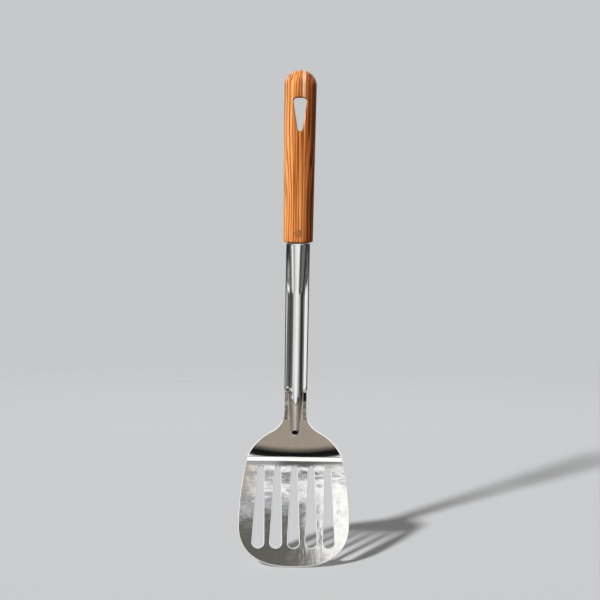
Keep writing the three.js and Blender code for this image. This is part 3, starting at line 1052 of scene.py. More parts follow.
def hole_rings(side):
    """The cutter's rings on one side, from a point outside the handle to the straight hole."""
    outside = Vector((0, side * CUTTER_REACH, -HOLE_LENGTH / 2))
    wide = hole_ring(RIM_ROUND * (1 - math.cos(RIM_STOP)) + CUTTER_FLARE, -CUTTER_RISE, side)
    rings = [[outside] * len(wide), wide]
    for i in range(ROUND_STEPS + 1):
        turn = RIM_STOP * (1 - i / ROUND_STEPS)
        rings.append(hole_ring(RIM_ROUND * (1 - math.cos(turn)), RIM_ROUND * (1 - math.sin(turn)), side))
    return rings


front_rings = hole_rings(-1)
back_rings = hole_rings(1)
cut(handle, skin("hang_hole", front_rings + back_rings[::-1]))
print("with hang hole:", len(handle.data.polygons), "faces")

# %% [markdown]
# A steel pin through the handle and the spigot holds the two together, and a round wooden plug hides
# each of its ends. A plug is glued in long and sanded flush with the handle, so here it is a bar
# that is kept only where it lies inside the handle's turned outline.

# %% The plugs and their seats
PLUG_RADIUS = 2.9 * MM
PLUG_DEPTH = 2.6 * MM
PLUG_GAP = 0.2 * MM
PLUG_STOCK = 8 * MM
SEAT_ROOM = 0.06 * MM
PIN_ROOM = 0.1 * MM
PIN_BORE_CUT = 40 * MM

plugs = {}
for side, node in ((-1, "pin_plug_front"), (1, "pin_plug_back")):
    seat_floor = handle_radius(PIN_Z) - PLUG_DEPTH
    seat_middle = (0, side * (seat_floor + PLUG_STOCK / 2), PIN_Z)
    cut(handle, bar("seat", PLUG_RADIUS + SEAT_ROOM, PLUG_STOCK, seat_middle))
    plug_middle = (0, side * (seat_floor + PLUG_GAP + PLUG_STOCK / 2), PIN_Z)
    plug = bar(node + "_turned", PLUG_RADIUS, PLUG_STOCK, plug_middle)
    flush = skin("flush", [circle_points(r, z) for r, z in handle_outside()])
    cut(plug, flush, "INTERSECT")
    plugs[node] = plug
cut(handle, bar("pin_bore", PIN_RADIUS + PIN_ROOM, PIN_BORE_CUT, (0, 0, PIN_Z)))
print("handle:", triangles(handle), "triangles; each plug:", triangles(plug), "triangles")

# %% [markdown]
# Shading decides whether small faces read as one smooth surface. The wooden pieces shade smooth except
# where two faces meet at more than 40 degrees. The steel ones keep only their marked edges sharp, and
# weighted normals let the large flat faces rule the small ones, so that a mirror stays a true mirror.

# %% Smooth shading
WOOD_EDGE = math.radians(40)
for piece in (handle, *plugs.values()):
    select_only(piece)
    bpy.ops.object.shade_smooth_by_angle(angle=WOOD_EDGE)
for piece in (blade, shaft):
    select_only(piece)
    bpy.ops.object.shade_smooth(keep_sharp_edges=True)
    finish_with(piece, "WEIGHTED_NORMAL", mode="FACE_AREA", weight=100, keep_sharp=True)
print("sharp edges on the blade:", sum(edge.use_edge_sharp for edge in blade.data.edges))

# %% [markdown]
# A turner has no joint, so every piece rides on the same body. Each one stands for the solid of the
# same part, which stays behind for collision and mass. The cross pin needs no new piece: nobody sees
# it, and its solid is already right.

# %% Hand the pieces to the frame
PIECE_OF = {"blade": blade, "shaft": shaft, "handle": handle, **plugs}
for node, piece in PIECE_OF.items():
    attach(piece, "root")
    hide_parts(node)
print("pieces on the root body:", len(PIECE_OF))

# %% [markdown]
# Every finish here is a small network of nodes. `add` makes one node, sets it up and plugs other
# nodes into it, so that a network reads from top to bottom like a recipe. The other helpers name what
# is done most: arithmetic, an eased step, a mix of two colours, and noise.

# %% Make and wire nodes


def wire(socket, value):
    """Links a socket to another one, or sets it to a plain value."""
    if isinstance(value, bpy.types.NodeSocket):
        socket.id_data.links.new(value, socket)
    else:
        socket.default_value = value


def add(tree, kind, inputs=None, **settings):
    """A new node, with its sockets linked to other sockets or set to plain values."""
    made = tree.nodes.new("ShaderNode" + kind)
    for name, value in settings.items():
        setattr(made, name, value)
    for socket, value in (inputs or {}).items():
        wire(made.inputs[socket], value)
    return made


def feed(shader, **sockets):
    """Links or sets the shader's sockets, named with underscores for spaces."""
    for name, value in sockets.items():
        wire(shader.inputs[name.replace("_", " ")], value)


def new_material(name):
    material = bpy.data.materials.new(name)
    material.use_nodes = True
    tree = material.node_tree
    shader = next(n for n in tree.nodes if n.type == "BSDF_PRINCIPLED")
    place = add(tree, "TexCoord").outputs["Object"]
    return material, tree, shader, place


print("materials from the frame:", len(bpy.data.materials))

# %% Arithmetic on sockets


def maths(operation, first, second=0.0):
    socket = first if isinstance(first, bpy.types.NodeSocket) else second
    return add(socket.id_data, "Math", {0: first, 1: second}, operation=operation).outputs[0]


def times(first, second):
    return maths("MULTIPLY", first, second)


def plus(first, second):
    return maths("ADD", first, second)


def minus(first, second):
    return maths("SUBTRACT", first, second)


def larger(first, second):
    return maths("MAXIMUM", first, second)


def distance_along(place, way):
    """How far a place lies along a direction."""
    inputs = {0: place, 1: way}
    return add(place.id_data, "VectorMath", inputs, operation="DOT_PRODUCT").outputs["Value"]


print("arithmetic: times, plus, minus, larger and distance_along")

# %% Steps, mixes and noise


def ease(value, start, end, low=0.0, high=1.0):
    """Goes smoothly from low to high while the value goes from start to end."""
    inputs = {"Value": value, "From Min": start, "From Max": end, "To Min": low, "To Max": high}
    return add(value.id_data, "MapRange", inputs, interpolation_type="SMOOTHSTEP").outputs[0]


def blend(share, first, second, mode="MIX"):
    """Mixes two colours by a share."""
    made = add(share.id_data, "Mix", {0: share}, data_type="RGBA", blend_type=mode)
    for socket, colour in ((6, first), (7, second)):
        wire(made.inputs[socket], (*colour, 1) if isinstance(colour, tuple) else colour)
    return made.outputs[2]


def noise(place, waves, detail=2.0, roughness=0.5):
    """Noise with its own number of waves per metre along each axis."""
    stretched = add(place.id_data, "Mapping", {"Vector": place, "Scale": waves}).outputs[0]
    inputs = {"Vector": stretched, "Scale": 1, "Detail": detail, "Roughness": roughness}
    return add(place.id_data, "TexNoise", inputs).outputs[0]


print("patterns: ease, blend and noise")

# %% [markdown]
# The shaft is polished stainless steel, almost a mirror. What makes it steel and not chrome is slight:
# fine lines along the tube from the polishing belt, as a very shallow bump, and a haze that makes it
# a little duller and darker here and there. Both are noise, stretched along the shaft.

# %% The shaft's polish
LINE_DEPTH = 0.01 * MM
CLEAREST = 0.05
HAZE_ROUGHNESS = 0.06

shaft_steel, tree, shader, place = new_material("polished_steel")
axes = add(tree, "SeparateXYZ", {0: place}).outputs
belt_lines = noise(place, (900, 900, 6), 3)
line_bump = add(tree, "Bump", {"Height": belt_lines, "Distance": LINE_DEPTH, "Strength": 0.5}).outputs[0]
haze = noise(place, (60, 60, 25), 4)
polished = blend(haze, (0.80, 0.80, 0.79), (0.72, 0.72, 0.70))
polish = plus(times(haze, HAZE_ROUGHNESS), CLEAREST)
print("polished steel:", len(tree.nodes), "nodes")

# %% [markdown]
# Beside the tongue the steel was welded, and painted shade darkens the gaps along the side strips: dark
# blots along both strips, a deeper painted shadow at the top of the right one, and a dark end of painted
# shade on each strip. They could be painted on an image, but a mask from the strips' own places,
# darkened by noise, keeps to the edges exactly.

# %% Painted shade beside the tongue
STRIP_INNER = 5.3 * MM
STRIP_FADE = 0.5 * MM
SHADOW_LENGTH = 9 * MM
STRIP_SHADE_DARK = (0.015, 0.013, 0.011)

strip_high = on_sheet(0, STRIP_TOP, FLANGE_END + STEP_DOWN).z
strip_low = on_sheet(0, STRIP_TOP, STRIP_END).z
shadow_low = on_sheet(0, STRIP_TOP, FLANGE_END + SHADOW_LENGTH).z
off_middle = maths("ABSOLUTE", axes[0])
beside = ease(off_middle, STRIP_INNER, STRIP_INNER + STRIP_FADE)
beside = times(beside, ease(axes[2], strip_high + 0.3 * MM, strip_high - 0.6 * MM))
beside = times(beside, ease(axes[2], strip_low - 1.5 * MM, strip_low - 0.9 * MM))
# painted shade: dark blots, a painted shadow and a dark end on each side strip beside the tongue
shade_blots = ease(noise(place, (140, 140, 190), 2), 0.40, 0.60, 0.35, 0.7)
shadow = times(ease(axes[0], 0, MM), ease(axes[2], shadow_low - MM, shadow_low + 2 * MM))
strip_end_shade = ease(axes[2], strip_low + 2.4 * MM, strip_low + 0.8 * MM, 0.0, 0.75)
painted_strip_shade = larger(larger(shade_blots, shadow), strip_end_shade)
strip_shaded = blend(times(beside, painted_strip_shade), polished, STRIP_SHADE_DARK)
print("strips from", round(strip_high / MM, 1), "to", round(strip_low / MM, 1), "mm")

# %% [markdown]
# The tongue isn't polished like the tube: the press leaves it satin, and a brown tint of painted
# reflection is laid on it. The bright bead runs out into it in a point, edged by a dark line of painted
# reflection. Inside the vent its colour is painted shade, nearly black. The vent's mask is the same
# squashed circle that cut it, so the colour and the hole agree.

# %% The satin tongue with painted reflections, and the vent's painted shade
SATIN_START = 117 * MM
SATIN_FULL = 123 * MM
SATIN_POINT = 1.6
SATIN_ROUGHNESS = 0.36
BROWN_REFLECTION_TINT = (1.0, 0.94, 0.87)
V_LINE_REFLECTION_TINT = (0.50, 0.45, 0.40)
VENT_PAINTED_SHADE = (0.008, 0.007, 0.006)

satin_top = on_sheet(0, STRIP_TOP, SATIN_START).z
satin_low = on_sheet(0, STRIP_TOP, SATIN_FULL).z
satin = ease(minus(axes[2], times(off_middle, SATIN_POINT)), satin_top, satin_low)
# painted reflection: a brown tint on the satin tongue, and a dark line edging the bright bead's point
v_line_reflection = times(ease(satin, 0.0, 0.3), ease(satin, 0.8, 0.4))
brown_reflected = blend(satin, strip_shaded, BROWN_REFLECTION_TINT, "MULTIPLY")
v_line_reflected = blend(v_line_reflection, brown_reflected, V_LINE_REFLECTION_TINT, "MULTIPLY")

vent_up = (0, math.sin(VENT_TILT), math.cos(VENT_TILT))
from_vent = add(tree, "VectorMath", {0: place, 1: vent_middle}, operation="SUBTRACT").outputs[0]
upwards = maths("DIVIDE", distance_along(from_vent, vent_up), VENT_RADIUS * VENT_SQUASH)
sideways = maths("DIVIDE", axes[0], VENT_RADIUS)
off_vent = maths("SQRT", plus(times(sideways, sideways), times(upwards, upwards)))
# painted shade: the inside of the vent is painted nearly black
vent_shaded = blend(ease(off_vent, 1.06, 1.01), v_line_reflected, VENT_PAINTED_SHADE)

gloss = larger(polish, times(satin, SATIN_ROUGHNESS))
feed(shader, Metallic=1, Base_Color=vent_shaded, Roughness=gloss, Normal=line_bump)
print("polished steel, finished:", len(tree.nodes), "nodes")

# %% [markdown]
# The blade's mesh is flat, as its solid is, but stamped sheet is seldom quite flat and its reflections
# show it. A bump bends them as if the blade were crowned by about 1 mm from side to side and dished
# by nearly 3 mm from heel to tip, with a slight twist in the neck. These amounts were set to get
# the spread of tones in the photograph. The dish runs out through the heel's bend without a step,
# so the heel mirrors one clean bright line.

# %% The curves that the blade seems to have
CROWN = -0.7
DISH = 2.2
NECK_TWIST = 47
BLADE_MIDDLE_Z = on_sheet(0, 0, HEEL_END + BLADE_LENGTH / 2).z
BLADE_HALF_Z = on_sheet(0, 0, HEEL_END).z - BLADE_MIDDLE_Z
HEEL_START_Z = on_sheet(0, 0, HEEL_START).z
HEEL_ARC_Z = HEEL_START_Z - on_sheet(0, 0, HEEL_END).z

blade_steel, tree, shader, place = new_material("satin_steel")
axes = add(tree, "SeparateXYZ", {0: place}).outputs
from_middle = minus(axes[2], BLADE_MIDDLE_Z)
crown = times(times(axes[0], axes[0]), CROWN)
below = maths("MINIMUM", from_middle, BLADE_HALF_Z)
dish = times(times(below, below), DISH)
over_heel = larger(minus(from_middle, BLADE_HALF_Z), 0)
over_heel = maths("MINIMUM", over_heel, HEEL_ARC_Z)
run_out = times(minus(2, maths("DIVIDE", over_heel, HEEL_ARC_Z)), over_heel)
dish = plus(dish, times(run_out, DISH * BLADE_HALF_Z))
above_heel = larger(minus(axes[2], HEEL_START_Z), 0)
neck_twist = times(times(crown, above_heel), NECK_TWIST)
curves = plus(plus(crown, dish), neck_twist)
dish_depth = DISH * BLADE_HALF_Z**2
crown_depth = CROWN * (BLADE_WIDTH / 2) ** 2
print("seeming dish and crown in mm:", round(dish_depth / MM, 1), round(crown_depth / MM, 1))

# %% [markdown]
# On top of that come the small unevennesses that make thin sheet shimmer: broad waves that grow calmer
# towards the tip, streaks down the blade and smears across it. Fine scratches across the blade are a
# second bump over the first, because they are sharper and must not soften the broad forms.

# %% Waves, streaks and scratches
WAVE_HEIGHT = 0.26 * MM
STREAK_HEIGHT = 0.04 * MM
SMEAR_HEIGHT = 0.03 * MM
SCRATCH_DEPTH = 0.008 * MM

on_blade = ease(from_middle, BLADE_HALF_Z, 0.8 * BLADE_HALF_Z)
calmer = ease(from_middle, -0.7 * BLADE_HALF_Z, 0.1 * BLADE_HALF_Z, 0.4, 1.0)
waves = times(times(noise(place, (70, 90, 90), 2), on_blade), calmer)
streaks = times(noise(place, (350, 60, 60), 3), on_blade)
smears = times(noise(place, (110, 420, 420), 3), on_blade)
ripple = plus(times(waves, WAVE_HEIGHT), times(streaks, STREAK_HEIGHT))
ripple = plus(ripple, times(smears, SMEAR_HEIGHT))
flatness = plus(curves, ripple)
broad_bump = add(tree, "Bump", {"Height": flatness, "Distance": 1, "Strength": 1}).outputs[0]
scratches = noise(place, (60, 1200, 1200), 4, 0.6)
scratch_inputs = {"Height": scratches, "Distance": SCRATCH_DEPTH, "Strength": 0.6, "Normal": broad_bump}
scratch_bump = add(tree, "Bump", scratch_inputs).outputs[0]
print("satin steel so far:", len(tree.nodes), "nodes")

# %% [markdown]
# The colour is plain satin steel with faint smudges, which also make it duller in places. Two places
# differ. Behind the vent one looks through to the neck, which lies in shade, so the neck's front is
# painted nearly black there with painted shade, and made duller. And the tumbled rims scatter more light
# than they mirror, so the finish is less metallic between the sheet's two faces, where the rims are.

# %% Colour and gloss of the blade
COVERED_HALF_WIDTH = 2.8 * MM
COVERED_FADE = 0.2 * MM
COVERED_LOW = on_sheet(0, 0, TONGUE_END - 1.2 * MM).z
COVERED_HIGH = on_sheet(0, 0, NECK_START).z
NECK_PAINTED_SHADE = (0.02, 0.018, 0.016)
RIM_SCATTER = 0.6

smudges = noise(place, (90, 110, 110), 4, 0.6)
satin_tint = blend(smudges, (0.80, 0.79, 0.77), (0.66, 0.65, 0.63))
neck_out = Vector((0, -math.cos(COLLAR_BEND), math.sin(COLLAR_BEND)))
neck_middle = on_sheet(0, 0, NECK_START).dot(neck_out)
neck_front = ease(distance_along(place, neck_out), neck_middle, neck_middle + HALF_SHEET)
off_middle = maths("ABSOLUTE", axes[0])
covered = ease(off_middle, COVERED_HALF_WIDTH + COVERED_FADE, COVERED_HALF_WIDTH - COVERED_FADE)
covered = times(covered, ease(axes[2], COVERED_LOW, COVERED_LOW + MM))
covered = times(covered, ease(axes[2], COVERED_HIGH, COVERED_HIGH - MM))
covered = times(covered, neck_front)
# painted shade: the neck's front behind the vent is painted nearly black
neck_shaded = blend(covered, satin_tint, NECK_PAINTED_SHADE)

blade_out = Vector((0, -math.cos(BLADE_LEAN), math.sin(BLADE_LEAN)))
off_sheet = minus(distance_along(place, blade_out), on_sheet(0, 0, HEEL_END).dot(blade_out))
on_rim = ease(maths("ABSOLUTE", off_sheet), 0.98 * HALF_SHEET, 0.85 * HALF_SHEET)
metal = minus(1, times(times(on_rim, on_blade), RIM_SCATTER))

gloss = plus(times(ease(smudges, 0.3, 0.75, 0.03, 0.11), on_blade), 0.05)
gloss = larger(gloss, times(covered, 0.8))
feed(shader, Metallic=metal, Base_Color=neck_shaded, Roughness=gloss, Normal=scratch_bump)
print("satin steel, finished:", len(tree.nodes), "nodes")

# %% [markdown]
# Stripes like these show where wood is cut across its growth rings. A flat stripe pattern would run
# straight on over the dome. Rings round a pith well outside the handle cut its surface as real ones
# do: lines on the front, broad arches on the sides, curves over the dome. Noise makes the rings
# wander, and they gather towards the handle's lower end.

# %% Growth rings
RING_SPACING = 2.6 * MM
PITH = Vector((-60 * MM, 12 * MM, 0))
HEIGHT_SHARE = 0.02
GATHER_START = -18 * MM
GATHER_END = -85 * MM
GATHERED = 1.5

handle_wood, tree, shader, place = new_material("striped_wood")
axes = add(tree, "SeparateXYZ", {0: place}).outputs
gather = times(axes[0], ease(axes[2], GATHER_START, GATHER_END, 1.0, GATHERED))
gathered = add(tree, "CombineXYZ", {0: gather, 1: axes[1], 2: axes[2]}).outputs[0]
from_pith = add(tree, "VectorMath", {0: gathered, 1: -PITH}, operation="ADD").outputs[0]
flatten = {0: from_pith, 1: (1, 1, HEIGHT_SHARE)}
flattened = add(tree, "VectorMath", flatten, operation="MULTIPLY").outputs[0]
radius = add(tree, "VectorMath", {0: flattened}, operation="LENGTH").outputs["Value"]
sway = noise(place, (50, 20, 8), 2)
drift = noise(place, (260, 50, 4), 2)
wander = plus(times(sway, 1.6), times(drift, 2.4))
growth = maths("FRACT", plus(times(radius, 1 / RING_SPACING), wander))
print("rings across the handle:", round(2 * HANDLE_TOP_RADIUS / RING_SPACING, 1))

# %% [markdown]
# Each ring is pale where it grew in spring, darkens slowly towards summer, and ends at a sharp edge.
# That saw-tooth is the line. Broad bands make some lines fainter than others, thin dark streaks run
# between them, and short fibres break up what is left, so that no two stripes look alike.

# %% Stripes
pale_spring = (0.94, 0.42, 0.150)
deep_spring = (0.77, 0.27, 0.066)
brown_summer = (0.24, 0.055, 0.006)
black_summer = (0.12, 0.022, 0.001)

bands = noise(place, (160, 40, 3), 2)
fibres = noise(place, (1300, 300, 20), 3, 0.6)
ring_line = times(ease(growth, 0.25, 0.78), ease(growth, 1.0, 0.92))
ring_line = times(ring_line, ease(bands, 0.25, 0.6, 0.55, 0.9))
thin_line = ease(noise(gathered, (620, 180, 5), 2), 0.53, 0.63, 0.0, 0.75)
spring = blend(ease(bands, 0.3, 0.7), pale_spring, deep_spring)
summer = blend(bands, brown_summer, black_summer)
striped = blend(larger(ring_line, thin_line), spring, summer)
fibred = blend(ease(fibres, 0.38, 0.75, 0.0, 0.5), striped, summer)
print("striped wood so far:", len(tree.nodes), "nodes")

# %% [markdown]
# Two bands in the width of the handle set it apart: a pale stripe of sapwood that runs from the dome
# into the hang hole, and painted shade that darkens its right side to a redder brown. Tiny
# dark pores finish the wood, and a thin varnish, a weak clear coat, gives it a low sheen.

# %% Sapwood, painted shade on the right and varnish
SAPWOOD_MIDDLE = 2.6 * MM
SAPWOOD_HALF_WIDTH = 1.1 * MM
SAPWOOD_FADE = 0.15 * MM
SAPWOOD_END = -26 * MM
RIGHT_SHADE_START = 2.8 * MM
RIGHT_SHADE_FULL = 7.0 * MM
RIGHT_SHADE_TINT = (0.70, 0.38, 0.15)
PORE_DARK = (0.08, 0.018, 0.003)
FIBRE_DEPTH = 0.04 * MM

off_sapwood = maths("ABSOLUTE", minus(axes[0], SAPWOOD_MIDDLE))
sapwood = ease(off_sapwood, SAPWOOD_HALF_WIDTH + SAPWOOD_FADE, SAPWOOD_HALF_WIDTH - SAPWOOD_FADE)
sapwood = times(sapwood, ease(axes[1], 2 * MM, 0))
sapwood = times(sapwood, ease(axes[2], SAPWOOD_END, SAPWOOD_END / 2))
pale_stripe = blend(ease(fibres, 0.3, 0.8), (0.80, 0.52, 0.36), (0.62, 0.33, 0.18))
sapped = blend(sapwood, fibred, pale_stripe)
# painted shade: the handle's right side is darkened to a redder brown
right_shade = ease(axes[0], RIGHT_SHADE_START, RIGHT_SHADE_FULL, 0.0, 0.65)
right_shaded = blend(right_shade, sapped, RIGHT_SHADE_TINT, "MULTIPLY")
pores = noise(place, (2600, 900, 60), 1)
pored = blend(ease(pores, 0.66, 0.74, 0.0, 0.5), right_shaded, PORE_DARK)
fibre_bump = add(tree, "Bump", {"Height": fibres, "Distance": FIBRE_DEPTH, "Strength": 0.6}).outputs[0]
feed(shader, Base_Color=pored, Roughness=0.45, Normal=fibre_bump, Specular_IOR_Level=0.08)
feed(shader, Coat_Weight=0.06, Coat_Roughness=0.2)
print("striped wood, finished:", len(tree.nodes), "nodes")

# %% [markdown]
# The plugs are dowels of a plainer, darker wood that show their end grain, so specks are enough. The
# pin is ordinary turned steel. It is hidden, but it is part of the object, so it has a finish too.

# %% Plug wood and pin steel
plug_wood, tree, shader, place = new_material("plug_wood")
specks = noise(place, (900, 900, 900), 3)
end_grain = blend(specks, (0.36, 0.135, 0.038), (0.24, 0.080, 0.020))
feed(shader, Base_Color=end_grain, Roughness=0.5)

pin_steel, tree, shader, place = new_material("pin_steel")
turning = noise(place, (60, 1500, 1500), 2)
turned = blend(turning, (0.62, 0.62, 0.61), (0.5, 0.5, 0.49))
feed(shader, Metallic=1, Base_Color=turned, Roughness=0.35)
print("materials with the new ones:", len(bpy.data.materials))

# %% [markdown]
# Each piece now gets its material, and the table lists which of the part's material slots it belongs to.
# The pin keeps its own solid, so only its material changes.

# %% Put the finishes on
FINISH_OF = {
    "blade": ("blade_steel", blade_steel),
    "shaft": ("shaft_steel", shaft_steel),
    "handle": ("handle_wood", handle_wood),
    "pin_plug_front": ("plug_wood", plug_wood),
    "pin_plug_back": ("plug_wood", plug_wood),
}


def dress(obj, material):
    obj.data.materials.clear()
    obj.data.materials.append(material)


for node, piece in PIECE_OF.items():
    slot, material = FINISH_OF[node]
    dress(piece, material)
dress(frame["nodes"]["handle_pin"], pin_steel)
print("pieces with a finish:", len(FINISH_OF) + 1)

# %% [markdown]
# The stage is a sheet of pale paper that ends nowhere: its material fades to clear with distance, and
# behind it the background has the paper's own colour, so there is no horizon to see. The paper takes
# the turner's shadow. It is kept out of reflections: the steel mirrors the studio and the turner.

# %% Stage
FLOOR_SIZE = 6
FLOOR_FADE_START = 0.55
FLOOR_FADE_END = 1.2

floor_z = min(cad_low[2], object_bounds()[0][2])
bpy.ops.object.select_all(action="DESELECT")
bpy.ops.mesh.primitive_plane_add(size=FLOOR_SIZE)
floor = bpy.context.object
floor.name = "floor"
floor.location = (0, 0, floor_z)
paper, tree, shader, place = new_material("paper")
speckle = noise(place, (400, 400, 400), 3)
speckled = blend(speckle, (0.580, 0.590, 0.601), (0.550, 0.560, 0.571))
feed(shader, Base_Color=speckled, Roughness=0.9)
reach = add(tree, "VectorMath", {0: place}, operation="LENGTH").outputs["Value"]
fade = ease(reach, FLOOR_FADE_START, FLOOR_FADE_END)
clear = add(tree, "BsdfTransparent").outputs[0]
fading = add(tree, "MixShader", {0: fade, 1: shader.outputs[0], 2: clear}).outputs[0]
output = next(n for n in tree.nodes if n.type == "OUTPUT_MATERIAL")
wire(output.inputs["Surface"], fading)
floor.data.materials.append(paper)
floor.visible_glossy = False
floor.visible_diffuse = False
print("floor at", round(floor_z / MM, 1), "mm")

# %% [markdown]
# One lamp gives the light its direction: a sun from the upper left, as in the photograph, just large
# enough to soften the shadow of the slots. It lights the wood, the paper and the rims, but is kept out
# of reflections, so that rounded edges don't mirror it as hard glints.

# %% Key light
KEY_AZIMUTH = math.radians(-36)
KEY_ELEVATION = math.radians(33)
KEY_SIZE = math.radians(5.5)
KEY_STRENGTH = 4.6

key_data = bpy.data.lights.new("key", "SUN")
key_data.angle = KEY_SIZE
key_data.energy = KEY_STRENGTH
key = bpy.data.objects.new("key", key_data)
level = math.cos(KEY_ELEVATION)
towards = Vector((math.sin(KEY_AZIMUTH), -math.cos(KEY_AZIMUTH), 0)) * level
towards.z = math.sin(KEY_ELEVATION)
key.rotation_euler = towards.to_track_quat("Z", "Y").to_euler()
bpy.context.scene.collection.objects.link(key)
key.visible_glossy = False
print("key light from", [round(c, 2) for c in towards])

# %% [markdown]
# Polished steel has hardly a look of its own: it shows the room. A photographer hangs white and black
# panels round such an object until its reflections describe its shape, and this studio does the same
# in the world's colours. A panel is a soft-edged patch at an azimuth, with 0 in front of the food side
# and 90 on the right, and in a band of elevation. Later panels hang in front of earlier ones.

# %% An empty studio
world = bpy.data.worlds.new("studio")
bpy.context.scene.world = world
world.use_nodes = True
tree = world.node_tree
tree.nodes.clear()
direction = add(tree, "TexCoord").outputs["Generated"]
axes = add(tree, "SeparateXYZ", {0: direction}).outputs
azimuth = times(maths("ARCTAN2", axes[0], times(axes[1], -1)), 180 / math.pi)
elevation = times(maths("ARCSINE", axes[2]), 180 / math.pi)


def within(value, middle, half, blur):
    off = maths("ABSOLUTE", minus(value, middle))
    return ease(off, half + blur, max(half - blur, 0))


def hang(behind, colour, middle, half, band, blur, edge=None):
    """Hangs a panel in front of what is there. All angles are in degrees: the azimuth of its middle,
    half its width, a band of (elevation, half its height), and the blur of its sides and of its upper
    and lower edge. A single number for a colour is a grey."""
    colour = colour if isinstance(colour, tuple) else (colour,) * 3
    sideways = within(azimuth, middle, half, blur)
    upright = within(elevation, band[0], band[1], edge or blur)
    return blend(times(sideways, upright), behind, colour)


room = blend(ease(elevation, -20, 20), (0.60, 0.60, 0.61), (1.7, 1.7, 1.71))
print("empty studio:", len(tree.nodes), "nodes")

# %% [markdown]
# The shaft stands upright, so from the camera it mirrors a low band all round. Dark sides and a bright
# front give it the long bright stripe between dark ones. Where the tube is still turning from round to
# pressed, its surface tips forwards and mirrors a narrow band a little lower, with panels of its own.

# %% What the shaft mirrors
SHAFT_BAND = (-26, 29)
FRONT_BAND = (-6, 8)
PRESS_BAND = (-11, 1.9)
PRESS_EDGE = 0.5
COOL_DARK = (0.16, 0.16, 0.17)
COOL_MIDDLE = (0.42, 0.42, 0.43)

room = hang(room, COOL_DARK, middle=180, half=182, band=SHAFT_BAND, blur=4)
for back in (180, -180):
    room = hang(room, COOL_MIDDLE, middle=back, half=40, band=SHAFT_BAND, blur=14, edge=10)
room = hang(room, 0.11, middle=-95, half=42, band=SHAFT_BAND, blur=8)
room = hang(room, 0.03, middle=-120, half=12, band=SHAFT_BAND, blur=6)
room = hang(room, 0.035, middle=95, half=42, band=SHAFT_BAND, blur=8)
room = hang(room, COOL_MIDDLE, middle=0, half=182, band=(-60, 34), blur=4, edge=6)
room = hang(room, 0.72, middle=-9, half=18, band=(-46, 45), blur=22, edge=6)
room = hang(room, (0.84, 0.84, 0.85), middle=6, half=44, band=FRONT_BAND, blur=31, edge=4)
room = hang(room, (1.12, 1.12, 1.13), middle=2, half=20, band=FRONT_BAND, blur=12, edge=4)
room = hang(room, 0.50, middle=-110, half=26, band=PRESS_BAND, blur=6, edge=PRESS_EDGE)
room = hang(room, 1.3, middle=-67, half=10, band=PRESS_BAND, blur=5, edge=PRESS_EDGE)
room = hang(room, 0.45, middle=-43, half=7, band=PRESS_BAND, blur=5, edge=PRESS_EDGE)
room = hang(room, 0.05, middle=42, half=15, band=PRESS_BAND, blur=10, edge=PRESS_EDGE)
room = hang(room, 0.20, middle=85, half=18, band=PRESS_BAND, blur=8, edge=PRESS_EDGE)
print("with the shaft's panels:", len(tree.nodes), "nodes")

# %% [markdown]
# The neck leans back by nine degrees and mirrors warm brown panels just above the horizon, a little
# lighter on the right. Down the heel's bend the mirrored place climbs quickly: first a black panel,
# then a white one. They give the dark band and the bright line that mark the bend.

# %% What the neck and the heel mirror
NECK_BAND = (6.5, 10.5)

room = hang(room, (0.44, 0.385, 0.32), middle=0, half=130, band=NECK_BAND, blur=6, edge=1)
room = hang(room, (0.36, 0.32, 0.275), middle=-60, half=45, band=NECK_BAND, blur=8, edge=1)
room = hang(room, (0.54, 0.485, 0.42), middle=55, half=45, band=NECK_BAND, blur=8, edge=1)
room = hang(room, 0.01, middle=0, half=70, band=(20, 5), blur=3)
room = hang(room, (1.5, 1.5, 1.48), middle=0, half=70, band=(31, 7), blur=2)
print("with the neck's panels:", len(tree.nodes), "nodes")

# %% [markdown]
# The blade mirrors what hangs high in front: from about 38 degrees at its top to about 64 at its tip.
# It is grey below the heel, white across the bars with two blue-grey bands, and dark towards the
# tip. The left edge has tan, grey and pale panels of its own, and a large white panel on the right
# makes the blade's right side glow.

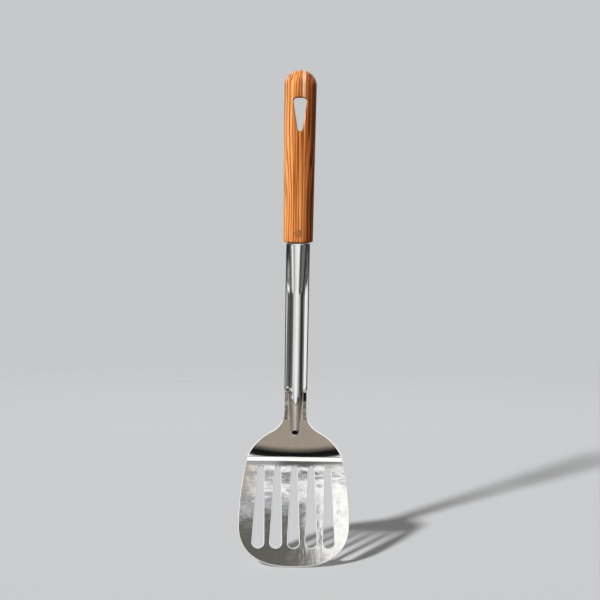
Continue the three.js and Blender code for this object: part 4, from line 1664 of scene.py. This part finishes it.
# %% What the blade mirrors
BARS_MIDDLE = -4
BARS_HALF = 12
LEFT_MIDDLE = -14
LEFT_HALF = 6
BLUE_GREY = (0.28, 0.32, 0.39)
DEEP_BLUE_GREY = (0.17, 0.20, 0.25)
TAN = (0.56, 0.48, 0.40)

room = hang(room, (0.44, 0.46, 0.49), middle=0, half=60, band=(41, 4), blur=1.5)
room = hang(room, 0.14, middle=3, half=6, band=(40, 3.2), blur=1.5)
room = hang(room, (0.155, 0.15, 0.135), middle=0, half=60, band=(68, 18), blur=1.5)
room = hang(room, (1.35, 1.36, 1.38), middle=0, half=60, band=(46.6, 3.6), blur=1.3)
room = hang(room, BLUE_GREY, middle=BARS_MIDDLE, half=BARS_HALF, band=(47.4, 0.8), blur=4, edge=0.6)
room = hang(room, DEEP_BLUE_GREY, middle=BARS_MIDDLE, half=BARS_HALF, band=(49.8, 1.0), blur=4, edge=0.7)
room = hang(room, TAN, middle=LEFT_MIDDLE, half=LEFT_HALF, band=(43.2, 2.4), blur=4, edge=1.2)
room = hang(room, (0.20, 0.20, 0.205), LEFT_MIDDLE, LEFT_HALF, band=(47, 1.4), blur=4, edge=1.2)
room = hang(room, (0.75, 0.76, 0.79), LEFT_MIDDLE, LEFT_HALF, band=(50.4, 1.1), blur=4, edge=0.7)
room = hang(room, 1.4, middle=31, half=25, band=(52, 11), blur=4)
print("with the blade's panels:", len(tree.nodes), "nodes")

# %% [markdown]
# The panels are for mirrors only. The camera sees a plain background in the paper's colour, and
# everything that isn't a mirror gets an even, faintly warm fill that keeps the shadows open.

# %% Switch the studio on
BACKGROUND = (0.567, 0.577, 0.588, 1)
FILL = (0.21, 0.205, 0.20, 1)

studio = add(tree, "Background", {"Color": room}).outputs[0]
seen = add(tree, "Background", {"Color": BACKGROUND}).outputs[0]
fill = add(tree, "Background", {"Color": FILL}).outputs[0]
rays = add(tree, "LightPath").outputs
lit = add(tree, "MixShader", {0: rays["Is Camera Ray"], 1: fill, 2: seen}).outputs[0]
mirrored_too = add(tree, "MixShader", {0: rays["Is Glossy Ray"], 1: lit, 2: studio}).outputs[0]
add(tree, "OutputWorld", {"Surface": mirrored_too})
bpy.context.scene.view_settings.view_transform = "Standard"
print("studio, finished:", len(tree.nodes), "nodes")
